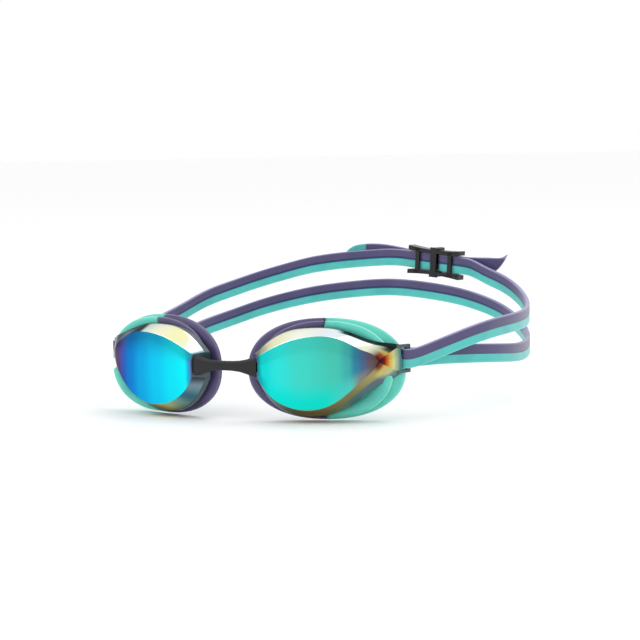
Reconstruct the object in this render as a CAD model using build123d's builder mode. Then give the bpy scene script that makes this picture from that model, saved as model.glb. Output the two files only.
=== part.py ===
from build123d import *
import os
from math import radians, sin, cos, sqrt, pi, copysign

# Racing swim goggles. Millimetres, +Z up, +Y toward the head, +X the wearer's left.
# Origin: midway between the eyecups, on the plane where the gasket ridges lie, at eye height.

# --- eyecup placing ---
EYE_HALF_SPACING = 37.4
EYE_YAW = 13.7
OVAL_POWER = 2.24

# --- lens: front face, bevel and temple arm (eyecup coordinates: x outward, y up, depth forward) ---
FACE_CREST = 8.0
FACE_FLAT_END = 8.0
FACE_NOSE_RADIUS = 225.0
FACE_WRAP_RADIUS = 24.0
FACE_NOSE_X = -25.0
FACE_TIP_X = 22.4
TIP_HEIGHT = 0.5
ARM_MID_HEIGHT = 3.8
BEVEL_DEPTH = 1.3
FLANGE_THICKNESS = 2.2
LENS_WALL = 2.2
CAVITY_NOSE_X = -21.0
CAVITY_TEMPLE_X = 15.5
FLANGE_INWARD = 0.45
SPIGOT_HALF_WIDTH = 22.0
SPIGOT_HALF_HEIGHT = 15.2
SPIGOT_SHIFT = -1.2
SPIGOT_WALL = 1.5
SPIGOT_DEPTH = 2.2
ARM_END_X = 30.0
ARM_END_DEPTH = -6.2
ARM_HEIGHT = 11.2

# --- strap post between the two prongs at the end of each arm ---
PRONG_REACH = 5.8
PRONG_ROOT = 1.5
PRONG_HEIGHT = 1.3
PRONG_WIDTH = 2.0
PRONG_ANGLE = 35.0
POST_RADIUS = 1.3
POST_BACK = 4.2

# --- gasket ---
RIDGE_HALF_WIDTH = 26.8
RIDGE_HALF_HEIGHT = 19.2
RIDGE_SHIFT = 0.7
RIDGE_ROUND = 0.9
RIDGE_DEPTH = -1.6
GROOVE_INSET = 1.3
GROOVE_DEPTH = -3.0
RIM_HALF_WIDTH = 31.4
RIM_HALF_HEIGHT = 20.1
RIM_DEPTH = -4.9
RIM_EDGE = 1.4
RIM_INNER_HALF_WIDTH = 26.0
RIM_INNER_HALF_HEIGHT = 15.6
RIM_TILT = 3.0
ARM_RELIEF = 0.4

# --- nose bridge ---
BRIDGE_MIDDLE_HEIGHT = 3.8
BRIDGE_END_HEIGHT = 8.2
BRIDGE_CENTRE_HEIGHT = 1.4
BRIDGE_MIDDLE_LIFT = 0.4
BRIDGE_HALF_LENGTH = 14.2
BRIDGE_BACK_HALF_LENGTH = 11.9
BRIDGE_FRONT_Y = -12.5
BRIDGE_THICKNESS = 3.0
BRIDGE_ARCH = 0.9
PEG_X = 12.6
PEG_WIDTH = 1.6
PEG_HEIGHT = 4.0
PEG_START_Y = -11.4
PEG_END_Y = -7.3
PEG_GAP = 0.3

# --- strap band ---
BAND_HEIGHT = 7.6
BAND_THICKNESS = 1.8
PURPLE_SHARE = 0.54
BAND_EDGE_CHAMFER = 0.5
LEFT_EXIT_ANGLE = 42.0
RIGHT_EXIT_ANGLE = 26.0
LEFT_EXIT_RISE = 0.24
RIGHT_EXIT_RISE = 0.02
EXIT_LEAD = 8.5
STRAP_LEG = 5.5
SWING_GAP_INNER = 4.2
SWING_GAP_OUTER = 4.5
STRAND_START = 2.4

# --- adjuster buckle, on a straight stretch of the upper strand ---
BUCKLE_X = 23.2
BUCKLE_Y = 143.7
BUCKLE_Z = 33.1
BUCKLE_YAW = -11.5
BUCKLE_TILT = 5.2
BUCKLE_LENGTH = 27.6
BUCKLE_END_HEIGHT = 12.8
BUCKLE_WAIST_HEIGHT = 11.4
BUCKLE_WINDOW = 8.2
BUCKLE_BAR_SPACING = 8.7
BUCKLE_BAR_WIDTH = 2.0
BUCKLE_BAR_DEPTH = 1.1
BUCKLE_KEEPER_WIDTH = 3.0
BUCKLE_KEEPER_HEIGHT = 13.2
BUCKLE_OUTER_BAR_WIDTH = 1.6
BUCKLE_HEAD_SIDE = 2.1
BUCKLE_RAIL_OUTSIDE = 2.5
BUCKLE_OUTSIDE = 4.3
BUCKLE_OUTER_BAR_DEPTH = 1.4
POST_OVERRUN = 0.5
FOLD_POST_RADIUS = 0.6
FOLD_GAP = 0.15
FOLD_POST_X = 3.4
STRAIGHT_HALF = 15.8
TAIL_GAP = 0.5
LEFT_TAIL_LENGTH = 18.5
LEFT_TAIL_CUT = 8.5
LEFT_TAIL_CURL = 1.4
LEFT_TAIL_OUT = 2.4
LEFT_TAIL_RISE = 1.6
LEFT_TAIL_SHOULDER = 3.2
TIP_JOINT_X = -13.5
RIGHT_TAIL_LEAD = 2.0
RIGHT_TAIL = [(-3.0, 150.15, 36.6), (TIP_JOINT_X, 149.7, 37.0), (-24.0, 147.7, 35.4)]

BAND_HALF = BAND_HEIGHT / 2
BAND_SPLIT = BAND_HALF - BAND_HEIGHT * PURPLE_SHARE
FOLD_RADIUS = FOLD_POST_RADIUS + FOLD_GAP + BAND_THICKNESS / 2
LOOP_RADIUS = POST_RADIUS + BAND_THICKNESS / 2

os.makedirs("parts", exist_ok=True)


def cup_point(x, y, depth):
    """World position of a point given in the left eyecup's own coordinates."""
    yaw = radians(EYE_YAW)
    return (
        EYE_HALF_SPACING + x * cos(yaw) + depth * sin(yaw),
        x * sin(yaw) - depth * cos(yaw),
        y,
    )


def cup_plane(depth=0.0, tilt=0.0):
    yaw = radians(EYE_YAW + tilt)
    return Plane(
        origin=cup_point(0, 0, depth),
        x_dir=(cos(yaw), sin(yaw), 0),
        z_dir=(sin(yaw), -cos(yaw), 0),
    )


def face_depth(x):
    """Depth of the front face: nearly flat toward the nose, wrapping toward the temple."""
    slope_at_join = FACE_FLAT_END / FACE_NOSE_RADIUS
    drop = min(x, FACE_FLAT_END) ** 2 / (2 * FACE_NOSE_RADIUS)
    past = max(x - FACE_FLAT_END, 0.0)
    drop += past * slope_at_join + FACE_WRAP_RADIUS - sqrt(FACE_WRAP_RADIUS**2 - past**2)
    return FACE_CREST - drop


def oval_points(half_width, half_height, count=16):
    points = []
    for i in range(count):
        angle = 2 * pi * i / count
        c = cos(angle)
        s = sin(angle)
        x = half_width * copysign(abs(c) ** (2 / OVAL_POWER), c)
        y = half_height * copysign(abs(s) ** (2 / OVAL_POWER), s)
        points.append((x, y))
    return points


def oval(half_width, half_height, shift=0.0):
    """Closed rounded oval, for use inside BuildSketch."""
    points = [(x + shift, y, 0) for x, y in oval_points(half_width, half_height)]
    make_face(Edge.make_spline(points, periodic=True))


# ---------------------------------------------------------------- lens, wearer's left
# Outline stations, nose to temple, as (x, top height, bottom height).
FACE_STATIONS = [
    (FACE_NOSE_X, 5.9, -3.1),
    (-20.0, 8.6, -9.8),
    (-12.0, 12.0, -14.2),
    (-4.0, 13.7, -15.1),
    (3.0, 13.9, -13.6),
    (10.0, 12.0, -9.4),
    (17.0, 8.2, -3.0),
    (FACE_TIP_X, ARM_MID_HEIGHT + TIP_HEIGHT / 2, ARM_MID_HEIGHT - TIP_HEIGHT / 2),
]
ARM_TOP = ARM_MID_HEIGHT + ARM_HEIGHT / 2
ARM_BOTTOM = ARM_MID_HEIGHT - ARM_HEIGHT / 2
BEVEL_STATIONS = [
    (FACE_NOSE_X - 2.0, 6.4, -4.0, BEVEL_DEPTH),
    (-22.5, 10.6, -11.0, BEVEL_DEPTH),
    (-13.5, 15.4, -17.2, BEVEL_DEPTH),
    (-4.5, 16.8, -18.6, BEVEL_DEPTH),
    (4.0, 16.6, -17.2, BEVEL_DEPTH),
    (13.0, 14.2, -12.6, BEVEL_DEPTH),
    (22.0, 11.2, -6.0, BEVEL_DEPTH - 1.3),
    (ARM_END_X, ARM_TOP, ARM_BOTTOM, ARM_END_DEPTH),
]

face_top = [cup_point(x, top, face_depth(x)) for x, top, bottom in FACE_STATIONS]
face_bottom = [cup_point(x, bottom, face_depth(x)) for x, top, bottom in FACE_STATIONS]
bevel_top = [cup_point(x, top, depth) for x, top, bottom, depth in BEVEL_STATIONS]
bevel_bottom = [cup_point(x, bottom, depth) for x, top, bottom, depth in BEVEL_STATIONS]


def ruled(first, second):
    return Face.make_surface_from_curves(first, second)


def ends(first_points, second_points, index):
    return Edge.make_line(first_points[index], second_points[index])


face_top_edge = Edge.make_spline(face_top)
face_bottom_edge = Edge.make_spline(face_bottom)
bevel_top_edge = Edge.make_spline(bevel_top)
bevel_bottom_edge = Edge.make_spline(bevel_bottom)
lens_back_face = ruled(bevel_top_edge, bevel_bottom_edge)
lens_faces = [
    ruled(face_top_edge, face_bottom_edge),
    ruled(face_top_edge, bevel_top_edge),
    ruled(face_bottom_edge, bevel_bottom_edge),
    ruled(ends(face_top, face_bottom, 0), ends(bevel_top, bevel_bottom, 0)),
    ruled(ends(face_top, face_bottom, -1), ends(bevel_top, bevel_bottom, -1)),
    lens_back_face,
]
lens_wedge = Solid(Shell(lens_faces))
flange_shift = Vector(*cup_point(-FLANGE_INWARD * FLANGE_THICKNESS, 0, -FLANGE_THICKNESS))
flange_shift = flange_shift - Vector(*cup_point(0, 0, 0))
lens_flange = Solid.extrude(lens_back_face, flange_shift)
SEAT_DEPTH = BEVEL_DEPTH - FLANGE_THICKNESS

# Prong and post line, in the plan of the eyecup: flush with the outside of the arm.
prong_x = cos(radians(90 - PRONG_ANGLE))
prong_depth = -sin(radians(90 - PRONG_ANGLE))
prong_root_x = ARM_END_X + prong_depth * PRONG_WIDTH / 2
prong_root_depth = ARM_END_DEPTH - prong_x * PRONG_WIDTH / 2
post_x = prong_root_x + prong_x * POST_BACK
post_depth = prong_root_depth + prong_depth * POST_BACK
POST = Vector(*cup_point(post_x, ARM_MID_HEIGHT, post_depth))
prong_middle = (PRONG_REACH - PRONG_ROOT) / 2
prong_plane = Plane(
    origin=cup_point(
        prong_root_x + prong_x * prong_middle,
        ARM_MID_HEIGHT,
        prong_root_depth + prong_depth * prong_middle,
    ),
    x_dir=Vector(*cup_point(prong_x, 0, prong_depth)) - Vector(*cup_point(0, 0, 0)),
    z_dir=(0, 0, 1),
)

# The hollow behind the face: a straight-sided pocket that stops one wall short of the front.
with BuildPart() as lens_hollow:
    with BuildSketch(cup_plane(SEAT_DEPTH - SPIGOT_DEPTH)):
        with BuildLine():
            Spline(
                (CAVITY_NOSE_X, 0.5),
                (-16.0, 8.2),
                (-3.0, 11.2),
                (9.0, 8.6),
                (CAVITY_TEMPLE_X, 1.5),
                (8.0, -7.2),
                (-4.0, -12.4),
                (-16.0, -8.6),
                periodic=True,
            )
        make_face()
    extrude(amount=3 * FACE_CREST)
    with BuildSketch(Plane(origin=cup_point(0, 0, 0), x_dir=cup_plane().x_dir, z_dir=(0, 0, 1))):
        with BuildLine():
            front = [(x, LENS_WALL - face_depth(x)) for x in (-26, -12, 0, 9, 14, 19)]
            Spline(*front)
            Polyline(front[-1], (19, 3 * FACE_CREST), (-26, 3 * FACE_CREST), front[0])
        make_face()
    extrude(amount=2 * RIM_HALF_HEIGHT, both=True, mode=Mode.INTERSECT)

with BuildPart() as lens_left:
    add(lens_wedge)
    add(lens_flange)
    with BuildSketch(cup_plane(SEAT_DEPTH)):
        oval(SPIGOT_HALF_WIDTH, SPIGOT_HALF_HEIGHT, SPIGOT_SHIFT)
    extrude(amount=-SPIGOT_DEPTH)
    add(lens_hollow.part, mode=Mode.SUBTRACT)
    with BuildSketch(cup_plane(SEAT_DEPTH)):
        oval(SPIGOT_HALF_WIDTH - SPIGOT_WALL, SPIGOT_HALF_HEIGHT - SPIGOT_WALL, SPIGOT_SHIFT)
    extrude(amount=-SPIGOT_DEPTH, mode=Mode.SUBTRACT)
    with Locations(prong_plane):
        with Locations((0, 0, (ARM_HEIGHT - PRONG_HEIGHT) / 2), (0, 0, (PRONG_HEIGHT - ARM_HEIGHT) / 2)):
            Box(PRONG_REACH + PRONG_ROOT, PRONG_WIDTH, PRONG_HEIGHT)
    with Locations(POST):
        Cylinder(POST_RADIUS, ARM_HEIGHT - PRONG_HEIGHT)
    with Locations((PEG_X, (PEG_START_Y + PEG_END_Y) / 2 + PEG_GAP, BRIDGE_CENTRE_HEIGHT)):
        Box(
            PEG_WIDTH + 2 * PEG_GAP,
            PEG_END_Y - PEG_START_Y,
            PEG_HEIGHT + 2 * PEG_GAP,
            mode=Mode.SUBTRACT,
        )
lens_left.part.label = "lens_left"

with BuildPart() as lens_right:
    add(mirror(lens_left.part, about=Plane.YZ, mode=Mode.PRIVATE))
lens_right.part.label = "lens_right"

# ---------------------------------------------------------------- gaskets
with BuildPart() as gasket_whole:
    with BuildSketch(cup_plane(SEAT_DEPTH)):
        oval(RIDGE_HALF_WIDTH - RIDGE_ROUND, RIDGE_HALF_HEIGHT - RIDGE_ROUND, RIDGE_SHIFT)
    with BuildSketch(cup_plane(RIDGE_DEPTH)):
        oval(RIDGE_HALF_WIDTH, RIDGE_HALF_HEIGHT, RIDGE_SHIFT)
    with BuildSketch(cup_plane(GROOVE_DEPTH, RIM_TILT / 2)):
        oval(RIDGE_HALF_WIDTH - GROOVE_INSET, RIDGE_HALF_HEIGHT - GROOVE_INSET, RIDGE_SHIFT)
    with BuildSketch(cup_plane(RIM_DEPTH, RIM_TILT)):
        oval(RIM_HALF_WIDTH, RIM_HALF_HEIGHT)
    with BuildSketch(cup_plane(RIM_DEPTH - RIM_EDGE, RIM_TILT)):
        oval(RIM_HALF_WIDTH - RIM_EDGE, RIM_HALF_HEIGHT - RIM_EDGE)
    loft(ruled=True)
    with BuildSketch(cup_plane(SEAT_DEPTH)):
        oval(SPIGOT_HALF_WIDTH, SPIGOT_HALF_HEIGHT, SPIGOT_SHIFT)
    extrude(amount=-SPIGOT_DEPTH, mode=Mode.SUBTRACT)
    with BuildSketch(cup_plane(SEAT_DEPTH - SPIGOT_DEPTH)):
        oval(SPIGOT_HALF_WIDTH, SPIGOT_HALF_HEIGHT, SPIGOT_SHIFT)
    with BuildSketch(cup_plane(RIM_DEPTH - RIM_EDGE, RIM_TILT)):
        oval(RIM_INNER_HALF_WIDTH, RIM_INNER_HALF_HEIGHT)
    loft(ruled=True, mode=Mode.SUBTRACT)
    add(lens_wedge, mode=Mode.SUBTRACT)
    add(lens_flange, mode=Mode.SUBTRACT)
    with Locations(prong_plane):
        Box(
            PRONG_REACH + PRONG_ROOT + 2 * ARM_RELIEF,
            PRONG_WIDTH + 2 * ARM_RELIEF,
            ARM_HEIGHT + 2 * ARM_RELIEF,
            mode=Mode.SUBTRACT,
        )

with BuildPart() as nose_side:
    with BuildSketch(cup_plane(2 * RIM_DEPTH)):
        with Locations((-RIM_HALF_WIDTH, 0)):
            Rectangle(2 * RIM_HALF_WIDTH, 3 * RIM_HALF_HEIGHT)
    extrude(amount=4 * FACE_CREST)

with BuildPart() as gasket_left_nose:
    add(gasket_whole.part)
    add(nose_side.part, mode=Mode.INTERSECT)
gasket_left_nose.part.label = "gasket_left_nose"

with BuildPart() as gasket_left_temple:
    add(gasket_whole.part)
    add(nose_side.part, mode=Mode.SUBTRACT)
gasket_left_temple.part.label = "gasket_left_temple"

with BuildPart() as gasket_right_nose:
    add(mirror(gasket_left_nose.part, about=Plane.YZ, mode=Mode.PRIVATE))
gasket_right_nose.part.label = "gasket_right_nose"

with BuildPart() as gasket_right_temple:
    add(mirror(gasket_left_temple.part, about=Plane.YZ, mode=Mode.PRIVATE))
gasket_right_temple.part.label = "gasket_right_temple"

# ---------------------------------------------------------------- nose bridge
bridge_front = [
    (-BRIDGE_HALF_LENGTH, BRIDGE_FRONT_Y),
    (0, BRIDGE_FRONT_Y - BRIDGE_ARCH),
    (BRIDGE_HALF_LENGTH, BRIDGE_FRONT_Y),
]
bridge_back = [
    (BRIDGE_BACK_HALF_LENGTH, BRIDGE_FRONT_Y + BRIDGE_THICKNESS),
    (0, BRIDGE_FRONT_Y - BRIDGE_ARCH + BRIDGE_THICKNESS),
    (-BRIDGE_BACK_HALF_LENGTH, BRIDGE_FRONT_Y + BRIDGE_THICKNESS),
]
bridge_mid_z = BRIDGE_CENTRE_HEIGHT + BRIDGE_MIDDLE_LIFT
bridge_shoulder_x = BRIDGE_HALF_LENGTH * 0.45
with BuildPart() as nose_bridge:
    with BuildSketch(Plane.XY.offset(BRIDGE_CENTRE_HEIGHT)):
        with BuildLine():
            Spline(*bridge_front)
            Line(bridge_front[-1], bridge_back[0])
            Spline(*bridge_back)
            Line(bridge_back[-1], bridge_front[0])
        make_face()
    extrude(amount=BRIDGE_END_HEIGHT, both=True)
    with BuildSketch(Plane.XZ.offset(-BRIDGE_FRONT_Y + BRIDGE_THICKNESS)):
        with BuildLine():
            outline = [
                (-BRIDGE_HALF_LENGTH, BRIDGE_CENTRE_HEIGHT + BRIDGE_END_HEIGHT / 2),
                (-bridge_shoulder_x, bridge_mid_z + BRIDGE_MIDDLE_HEIGHT * 0.56),
                (0, bridge_mid_z + BRIDGE_MIDDLE_HEIGHT / 2),
                (bridge_shoulder_x, bridge_mid_z + BRIDGE_MIDDLE_HEIGHT * 0.56),
                (BRIDGE_HALF_LENGTH, BRIDGE_CENTRE_HEIGHT + BRIDGE_END_HEIGHT / 2),
            ]
            lower = [
                (BRIDGE_HALF_LENGTH, BRIDGE_CENTRE_HEIGHT - BRIDGE_END_HEIGHT / 2),
                (bridge_shoulder_x, bridge_mid_z - BRIDGE_MIDDLE_HEIGHT * 0.56),
                (0, bridge_mid_z - BRIDGE_MIDDLE_HEIGHT / 2),
                (-bridge_shoulder_x, bridge_mid_z - BRIDGE_MIDDLE_HEIGHT * 0.56),
                (-BRIDGE_HALF_LENGTH, BRIDGE_CENTRE_HEIGHT - BRIDGE_END_HEIGHT / 2),
            ]
            Spline(*outline)
            Line(outline[-1], lower[0])
            Spline(*lower)
            Line(lower[-1], outline[0])
        make_face()
    extrude(amount=-3 * BRIDGE_THICKNESS, mode=Mode.INTERSECT)
    peg_places = [(side * PEG_X, (PEG_START_Y + PEG_END_Y) / 2, BRIDGE_CENTRE_HEIGHT) for side in (-1, 1)]
    with Locations(*peg_places):
        Box(PEG_WIDTH, PEG_END_Y - PEG_START_Y, PEG_HEIGHT)
nose_bridge.part.label = "nose_bridge"

# ---------------------------------------------------------------- strap paths
UP = Vector(0, 0, 1)
# Stations seen from above: x, y, height of the upper and of the lower strand.
LEFT_RING = [
    (89.4, 57.0, 13.7, 2.7),
    (89.8, 72.5, 14.1, 1.5),
    (87.7, 87.0, 14.4, 1.2),
    (83.7, 101.0, 15.5, 2.2),
    (77.9, 113.0, 17.8, 4.6),
    (69.8, 123.8, 21.3, 8.1),
    (59.8, 132.0, 25.1, 12.0),
    (48.8, 137.6, 28.5, 15.2),
]
# Where the two strands still lie one outside the other, each has its own stations.
LEFT_UPPER_START = [(85.9, 41.0, 12.1)]
LEFT_LOWER_START = [(84.4, 42.5, 3.8)]
RIGHT_UPPER_START = [
    (-78.3, 41.5, 4.2),
    (-83.0, 57.0, 5.0),
    (-84.8, 72.5, 6.6),
    (-84.2, 87.0, 9.2),
    (-81.4, 101.0, 13.1),
]
RIGHT_LOWER_START = [
    (-75.2, 42.5, 3.0),
    (-79.8, 57.5, 0.8),
    (-81.5, 72.5, -0.6),
    (-81.6, 87.0, 0.2),
    (-80.2, 101.0, 2.0),
]
RIGHT_RING = [
    (-76.9, 113.0, 17.6, 4.7),
    (-69.6, 123.8, 21.3, 8.1),
    (-59.8, 132.0, 25.1, 12.0),
    (-48.8, 137.6, 28.5, 15.2),
]
RIGHT_UPPER_REAR = [
    (-37.9, 141.3, 31.3),
    (-27.5, 143.5, 32.9),
    (-17.9, 145.2, 33.9),
    (-8.6, 146.2, 34.6),
    (-0.5, 146.6, 35.0),
]
LOWER_REAR = [
    (37.9, 141.3, 17.6),
    (18.0, 145.0, 20.3),
    (0.0, 146.4, 21.4),
    (-18.0, 145.0, 20.3),
    (-37.9, 141.3, 17.6),
]

buckle_way = Vector(
    cos(radians(BUCKLE_YAW)) * cos(radians(BUCKLE_TILT)),
    sin(radians(BUCKLE_YAW)) * cos(radians(BUCKLE_TILT)),
    -sin(radians(BUCKLE_TILT)),
)
buckle_out = UP.cross(buckle_way).normalized()
buckle_up = buckle_way.cross(buckle_out).normalized()
BUCKLE = Vector(BUCKLE_X, BUCKLE_Y, BUCKLE_Z)


def at_buckle(along, out, up=0.0):
    return BUCKLE + buckle_way * along + buckle_out * out + buckle_up * up


def flipped(point):
    return Vector(-point.X, point.Y, point.Z)


def exit_axes(angle, side):
    """Directions in which the strap leaves a post, and outward across it; side is +1 or -1."""
    turn = radians(angle)
    return Vector(side * sin(turn), cos(turn), 0), Vector(side * cos(turn), -sin(turn), 0)


left_way, left_across = exit_axes(LEFT_EXIT_ANGLE, 1)
right_way, right_across = exit_axes(RIGHT_EXIT_ANGLE, -1)
RIGHT_POST = flipped(POST)


def strand_start(post, way, across, outside, rise):
    """First two knots of a strand: beside the post and a short lead beyond it."""
    first = post + across * (outside * LOOP_RADIUS)
    return [first, first + way * EXIT_LEAD + UP * (EXIT_LEAD * rise)]


left_run = strand_start(POST, left_way, left_across, 1, LEFT_EXIT_RISE)
left_run += [Vector(*knot) for knot in LEFT_UPPER_START]
left_run += [Vector(x, y, upper) for x, y, upper, lower in LEFT_RING]
left_run += [at_buckle(STRAIGHT_HALF, 0)]
right_run = strand_start(RIGHT_POST, right_way, right_across, 1, RIGHT_EXIT_RISE)
right_run += [Vector(*knot) for knot in RIGHT_UPPER_START]
right_run += [Vector(x, y, upper) for x, y, upper, lower in RIGHT_RING]
right_run += [Vector(*knot) for knot in RIGHT_UPPER_REAR]
right_run += [at_buckle(-STRAIGHT_HALF, 0)]
lower_run = strand_start(POST, left_way, left_across, -1, RIGHT_EXIT_RISE)
lower_run += [Vector(*knot) for knot in LEFT_LOWER_START]
lower_run += [Vector(x, y, lower) for x, y, upper, lower in LEFT_RING]
lower_run += [Vector(*knot) for knot in LOWER_REAR]
right_half = strand_start(RIGHT_POST, right_way, right_across, -1, -RIGHT_EXIT_RISE)
right_half += [Vector(*knot) for knot in RIGHT_LOWER_START]
right_half += [Vector(x, y, lower) for x, y, upper, lower in RIGHT_RING]
lower_run += reversed(right_half)
left_exit = (left_way + UP * LEFT_EXIT_RISE).normalized()


def folded_path(run, exit_tangent, side):
    """Ring run, straight lead into the buckle, fold round its post and stub of the outer layer."""
    fold_along = side * FOLD_POST_X
    lead = Edge.make_spline(run, tangents=[exit_tangent, buckle_way * -side])
    inner = Edge.make_line(run[-1], at_buckle(fold_along, 0))
    turn = Edge.make_three_point_arc(
        at_buckle(fold_along, 0),
        at_buckle(fold_along - side * FOLD_RADIUS, FOLD_RADIUS),
        at_buckle(fold_along, 2 * FOLD_RADIUS),
    )
    stub_start = at_buckle(fold_along, 2 * FOLD_RADIUS)
    outer = Edge.make_line(stub_start, at_buckle(side * STRAIGHT_HALF, 2 * FOLD_RADIUS))
    return Wire([lead, inner, turn, outer])


upper_left_path = folded_path(left_run, left_exit, 1)
upper_right_path = folded_path(right_run, right_way, -1)
lower_path = Wire([Edge.make_spline(lower_run, tangents=[left_way, right_way * -1])])


def loop_path(post, way, across):
    """Short leg, half turn round the post, and leg back."""
    start = post + across * LOOP_RADIUS
    end = post - across * LOOP_RADIUS
    return Wire(
        [
            Edge.make_line(start + way * STRAP_LEG, start),
            Edge.make_three_point_arc(start, post - way * LOOP_RADIUS, end),
            Edge.make_line(end, end + way * STRAP_LEG),
        ]
    )


TAIL_START = STRAIGHT_HALF + TAIL_GAP
TAIL_OUT = 2 * FOLD_RADIUS
tail_right_knots = [at_buckle(-TAIL_START, TAIL_OUT), at_buckle(-TAIL_START - RIGHT_TAIL_LEAD, TAIL_OUT)]
tail_right_knots += [Vector(*knot) for knot in RIGHT_TAIL]
tail_right_path = Wire([Edge.make_spline(tail_right_knots)])


def slice_plane(path):
    """Plane across the start of a path, its y direction upright."""
    along = path % 0
    return Plane(origin=path @ 0, x_dir=UP.cross(along), z_dir=along)


def upright_guide(path):
    return path.moved(Location(UP * 4 * BAND_HEIGHT))


def band_outline(low, high):
    """Edges of the band's cross-section from low to high, its outer corners taken off."""
    half = BAND_THICKNESS / 2
    top_cut = BAND_EDGE_CHAMFER if high == BAND_HALF else 0.0
    low_cut = BAND_EDGE_CHAMFER if low == -BAND_HALF else 0.0
    corners = [(-half, low + low_cut), (-half, high - top_cut)]
    if top_cut:
        corners += [(-half + top_cut, high), (half - top_cut, high)]
    corners += [(half, high - top_cut), (half, low + low_cut)]
    if low_cut:
        corners += [(half - low_cut, low), (-half + low_cut, low)]
    return [Edge.make_line(first, second) for first, second in zip(corners, corners[1:] + corners[:1])]


PURPLE = (BAND_SPLIT, BAND_HALF)
MINT = (-BAND_HALF, BAND_SPLIT)

# Everything inside loop_keep stays with the lens; strand_cut clears a running gap for the strands.
POST_LINE = Location((0, POST.Y, POST.Z))
AHEAD = 30.0
with BuildPart() as loop_keep:
    with Locations(POST_LINE):
        Cylinder(SWING_GAP_INNER, 6 * EYE_HALF_SPACING, rotation=(0, 90, 0))
        with Locations((0, -AHEAD / 2, 0)):
            Box(6 * EYE_HALF_SPACING, AHEAD, AHEAD)

with BuildPart() as strand_cut:
    with Locations(POST_LINE):
        Cylinder(SWING_GAP_OUTER, 6 * EYE_HALF_SPACING, rotation=(0, 90, 0))
        with Locations((0, STRAND_START - AHEAD / 2, 0)):
            Box(6 * EYE_HALF_SPACING, AHEAD, AHEAD)

# The gap where each free tail begins, in the outer layer just beyond the buckle.
tail_slot_middle = STRAIGHT_HALF + BAND_THICKNESS
buckle_frame = Plane(origin=BUCKLE, x_dir=buckle_way, z_dir=buckle_up)
with BuildPart() as tail_slots:
    with Locations(buckle_frame):
        with Locations((tail_slot_middle, TAIL_OUT, 0), (-tail_slot_middle, TAIL_OUT, 0)):
            Box(2 * BAND_THICKNESS, 1.5 * BAND_THICKNESS, 2 * BAND_HEIGHT)

# ---------------------------------------------------------------- strap turned round each post
turns = []
for side_name, turn_path in (
    ("left", loop_path(POST, left_way, left_across)),
    ("right", loop_path(RIGHT_POST, right_way, right_across)),
):
    for colour, span in (("purple", PURPLE), ("mint", MINT)):
        with BuildPart() as turn:
            with BuildSketch(slice_plane(turn_path)):
                make_face(band_outline(*span))
            sweep(path=turn_path, binormal=upright_guide(turn_path))
            add(loop_keep.part, mode=Mode.INTERSECT)
        turn.part.label = "strap_turn_" + side_name + "_" + colour
        turns.append(turn)

# ---------------------------------------------------------------- strands, purple above mint
strands = []
for strand_name, path in (
    ("upper_left", upper_left_path),
    ("upper_right", upper_right_path),
    ("lower", lower_path),
):
    for colour, span in (("purple", PURPLE), ("mint", MINT)):
        with BuildPart() as strand:
            with BuildSketch(slice_plane(path)):
                make_face(band_outline(*span))
            sweep(path=path, binormal=upright_guide(path))
            add(strand_cut.part, mode=Mode.SUBTRACT)
            add(tail_slots.part, mode=Mode.SUBTRACT)
        strand.part.label = strand_name + "_" + colour
        strands.append(strand)

# ---------------------------------------------------------------- free tails
tail_left_way = (
    buckle_way * LEFT_TAIL_LENGTH + buckle_out * LEFT_TAIL_OUT + buckle_up * LEFT_TAIL_RISE
).normalized()
tail_left_out = UP.cross(tail_left_way).normalized()
tail_left_plane = Plane(
    origin=at_buckle(TAIL_START, TAIL_OUT),
    x_dir=tail_left_way,
    z_dir=tail_left_out * -1,
)
tail_cut_x = LEFT_TAIL_LENGTH - LEFT_TAIL_CUT
tail_shoulder_x = LEFT_TAIL_LENGTH - LEFT_TAIL_SHOULDER
with BuildPart() as tail_left:
    with BuildSketch(tail_left_plane):
        with BuildLine():
            tail_tip = (LEFT_TAIL_LENGTH, BAND_HALF + LEFT_TAIL_CURL)
            Polyline(
                (tail_cut_x, -BAND_HALF),
                (0, -BAND_HALF),
                (0, BAND_HALF),
                (tail_cut_x, BAND_HALF),
            )
            Spline((tail_cut_x, BAND_HALF), (tail_shoulder_x, BAND_HALF), tail_tip)
            Spline(tail_tip, (tail_shoulder_x, 0), (tail_cut_x, -BAND_HALF))
        make_face()
    extrude(amount=BAND_THICKNESS / 2, both=True)
tail_left.part.label = "tail_left"

with BuildPart() as tail_whole:
    with BuildSketch(slice_plane(tail_right_path)):
        make_face(band_outline(-BAND_HALF, BAND_HALF))
    sweep(path=tail_right_path, binormal=upright_guide(tail_right_path))

tip_side = Location((TIP_JOINT_X - AHEAD / 2, BUCKLE_Y, BUCKLE_Z))
with BuildPart() as tail_right:
    add(tail_whole.part)
    with Locations(tip_side):
        Box(AHEAD, AHEAD, AHEAD, mode=Mode.SUBTRACT)
tail_right.part.label = "tail_right"

with BuildPart() as tail_right_tip:
    add(tail_whole.part)
    with Locations(tip_side):
        Box(AHEAD, AHEAD, AHEAD, mode=Mode.INTERSECT)
tail_right_tip.part.label = "tail_right_tip"

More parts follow.
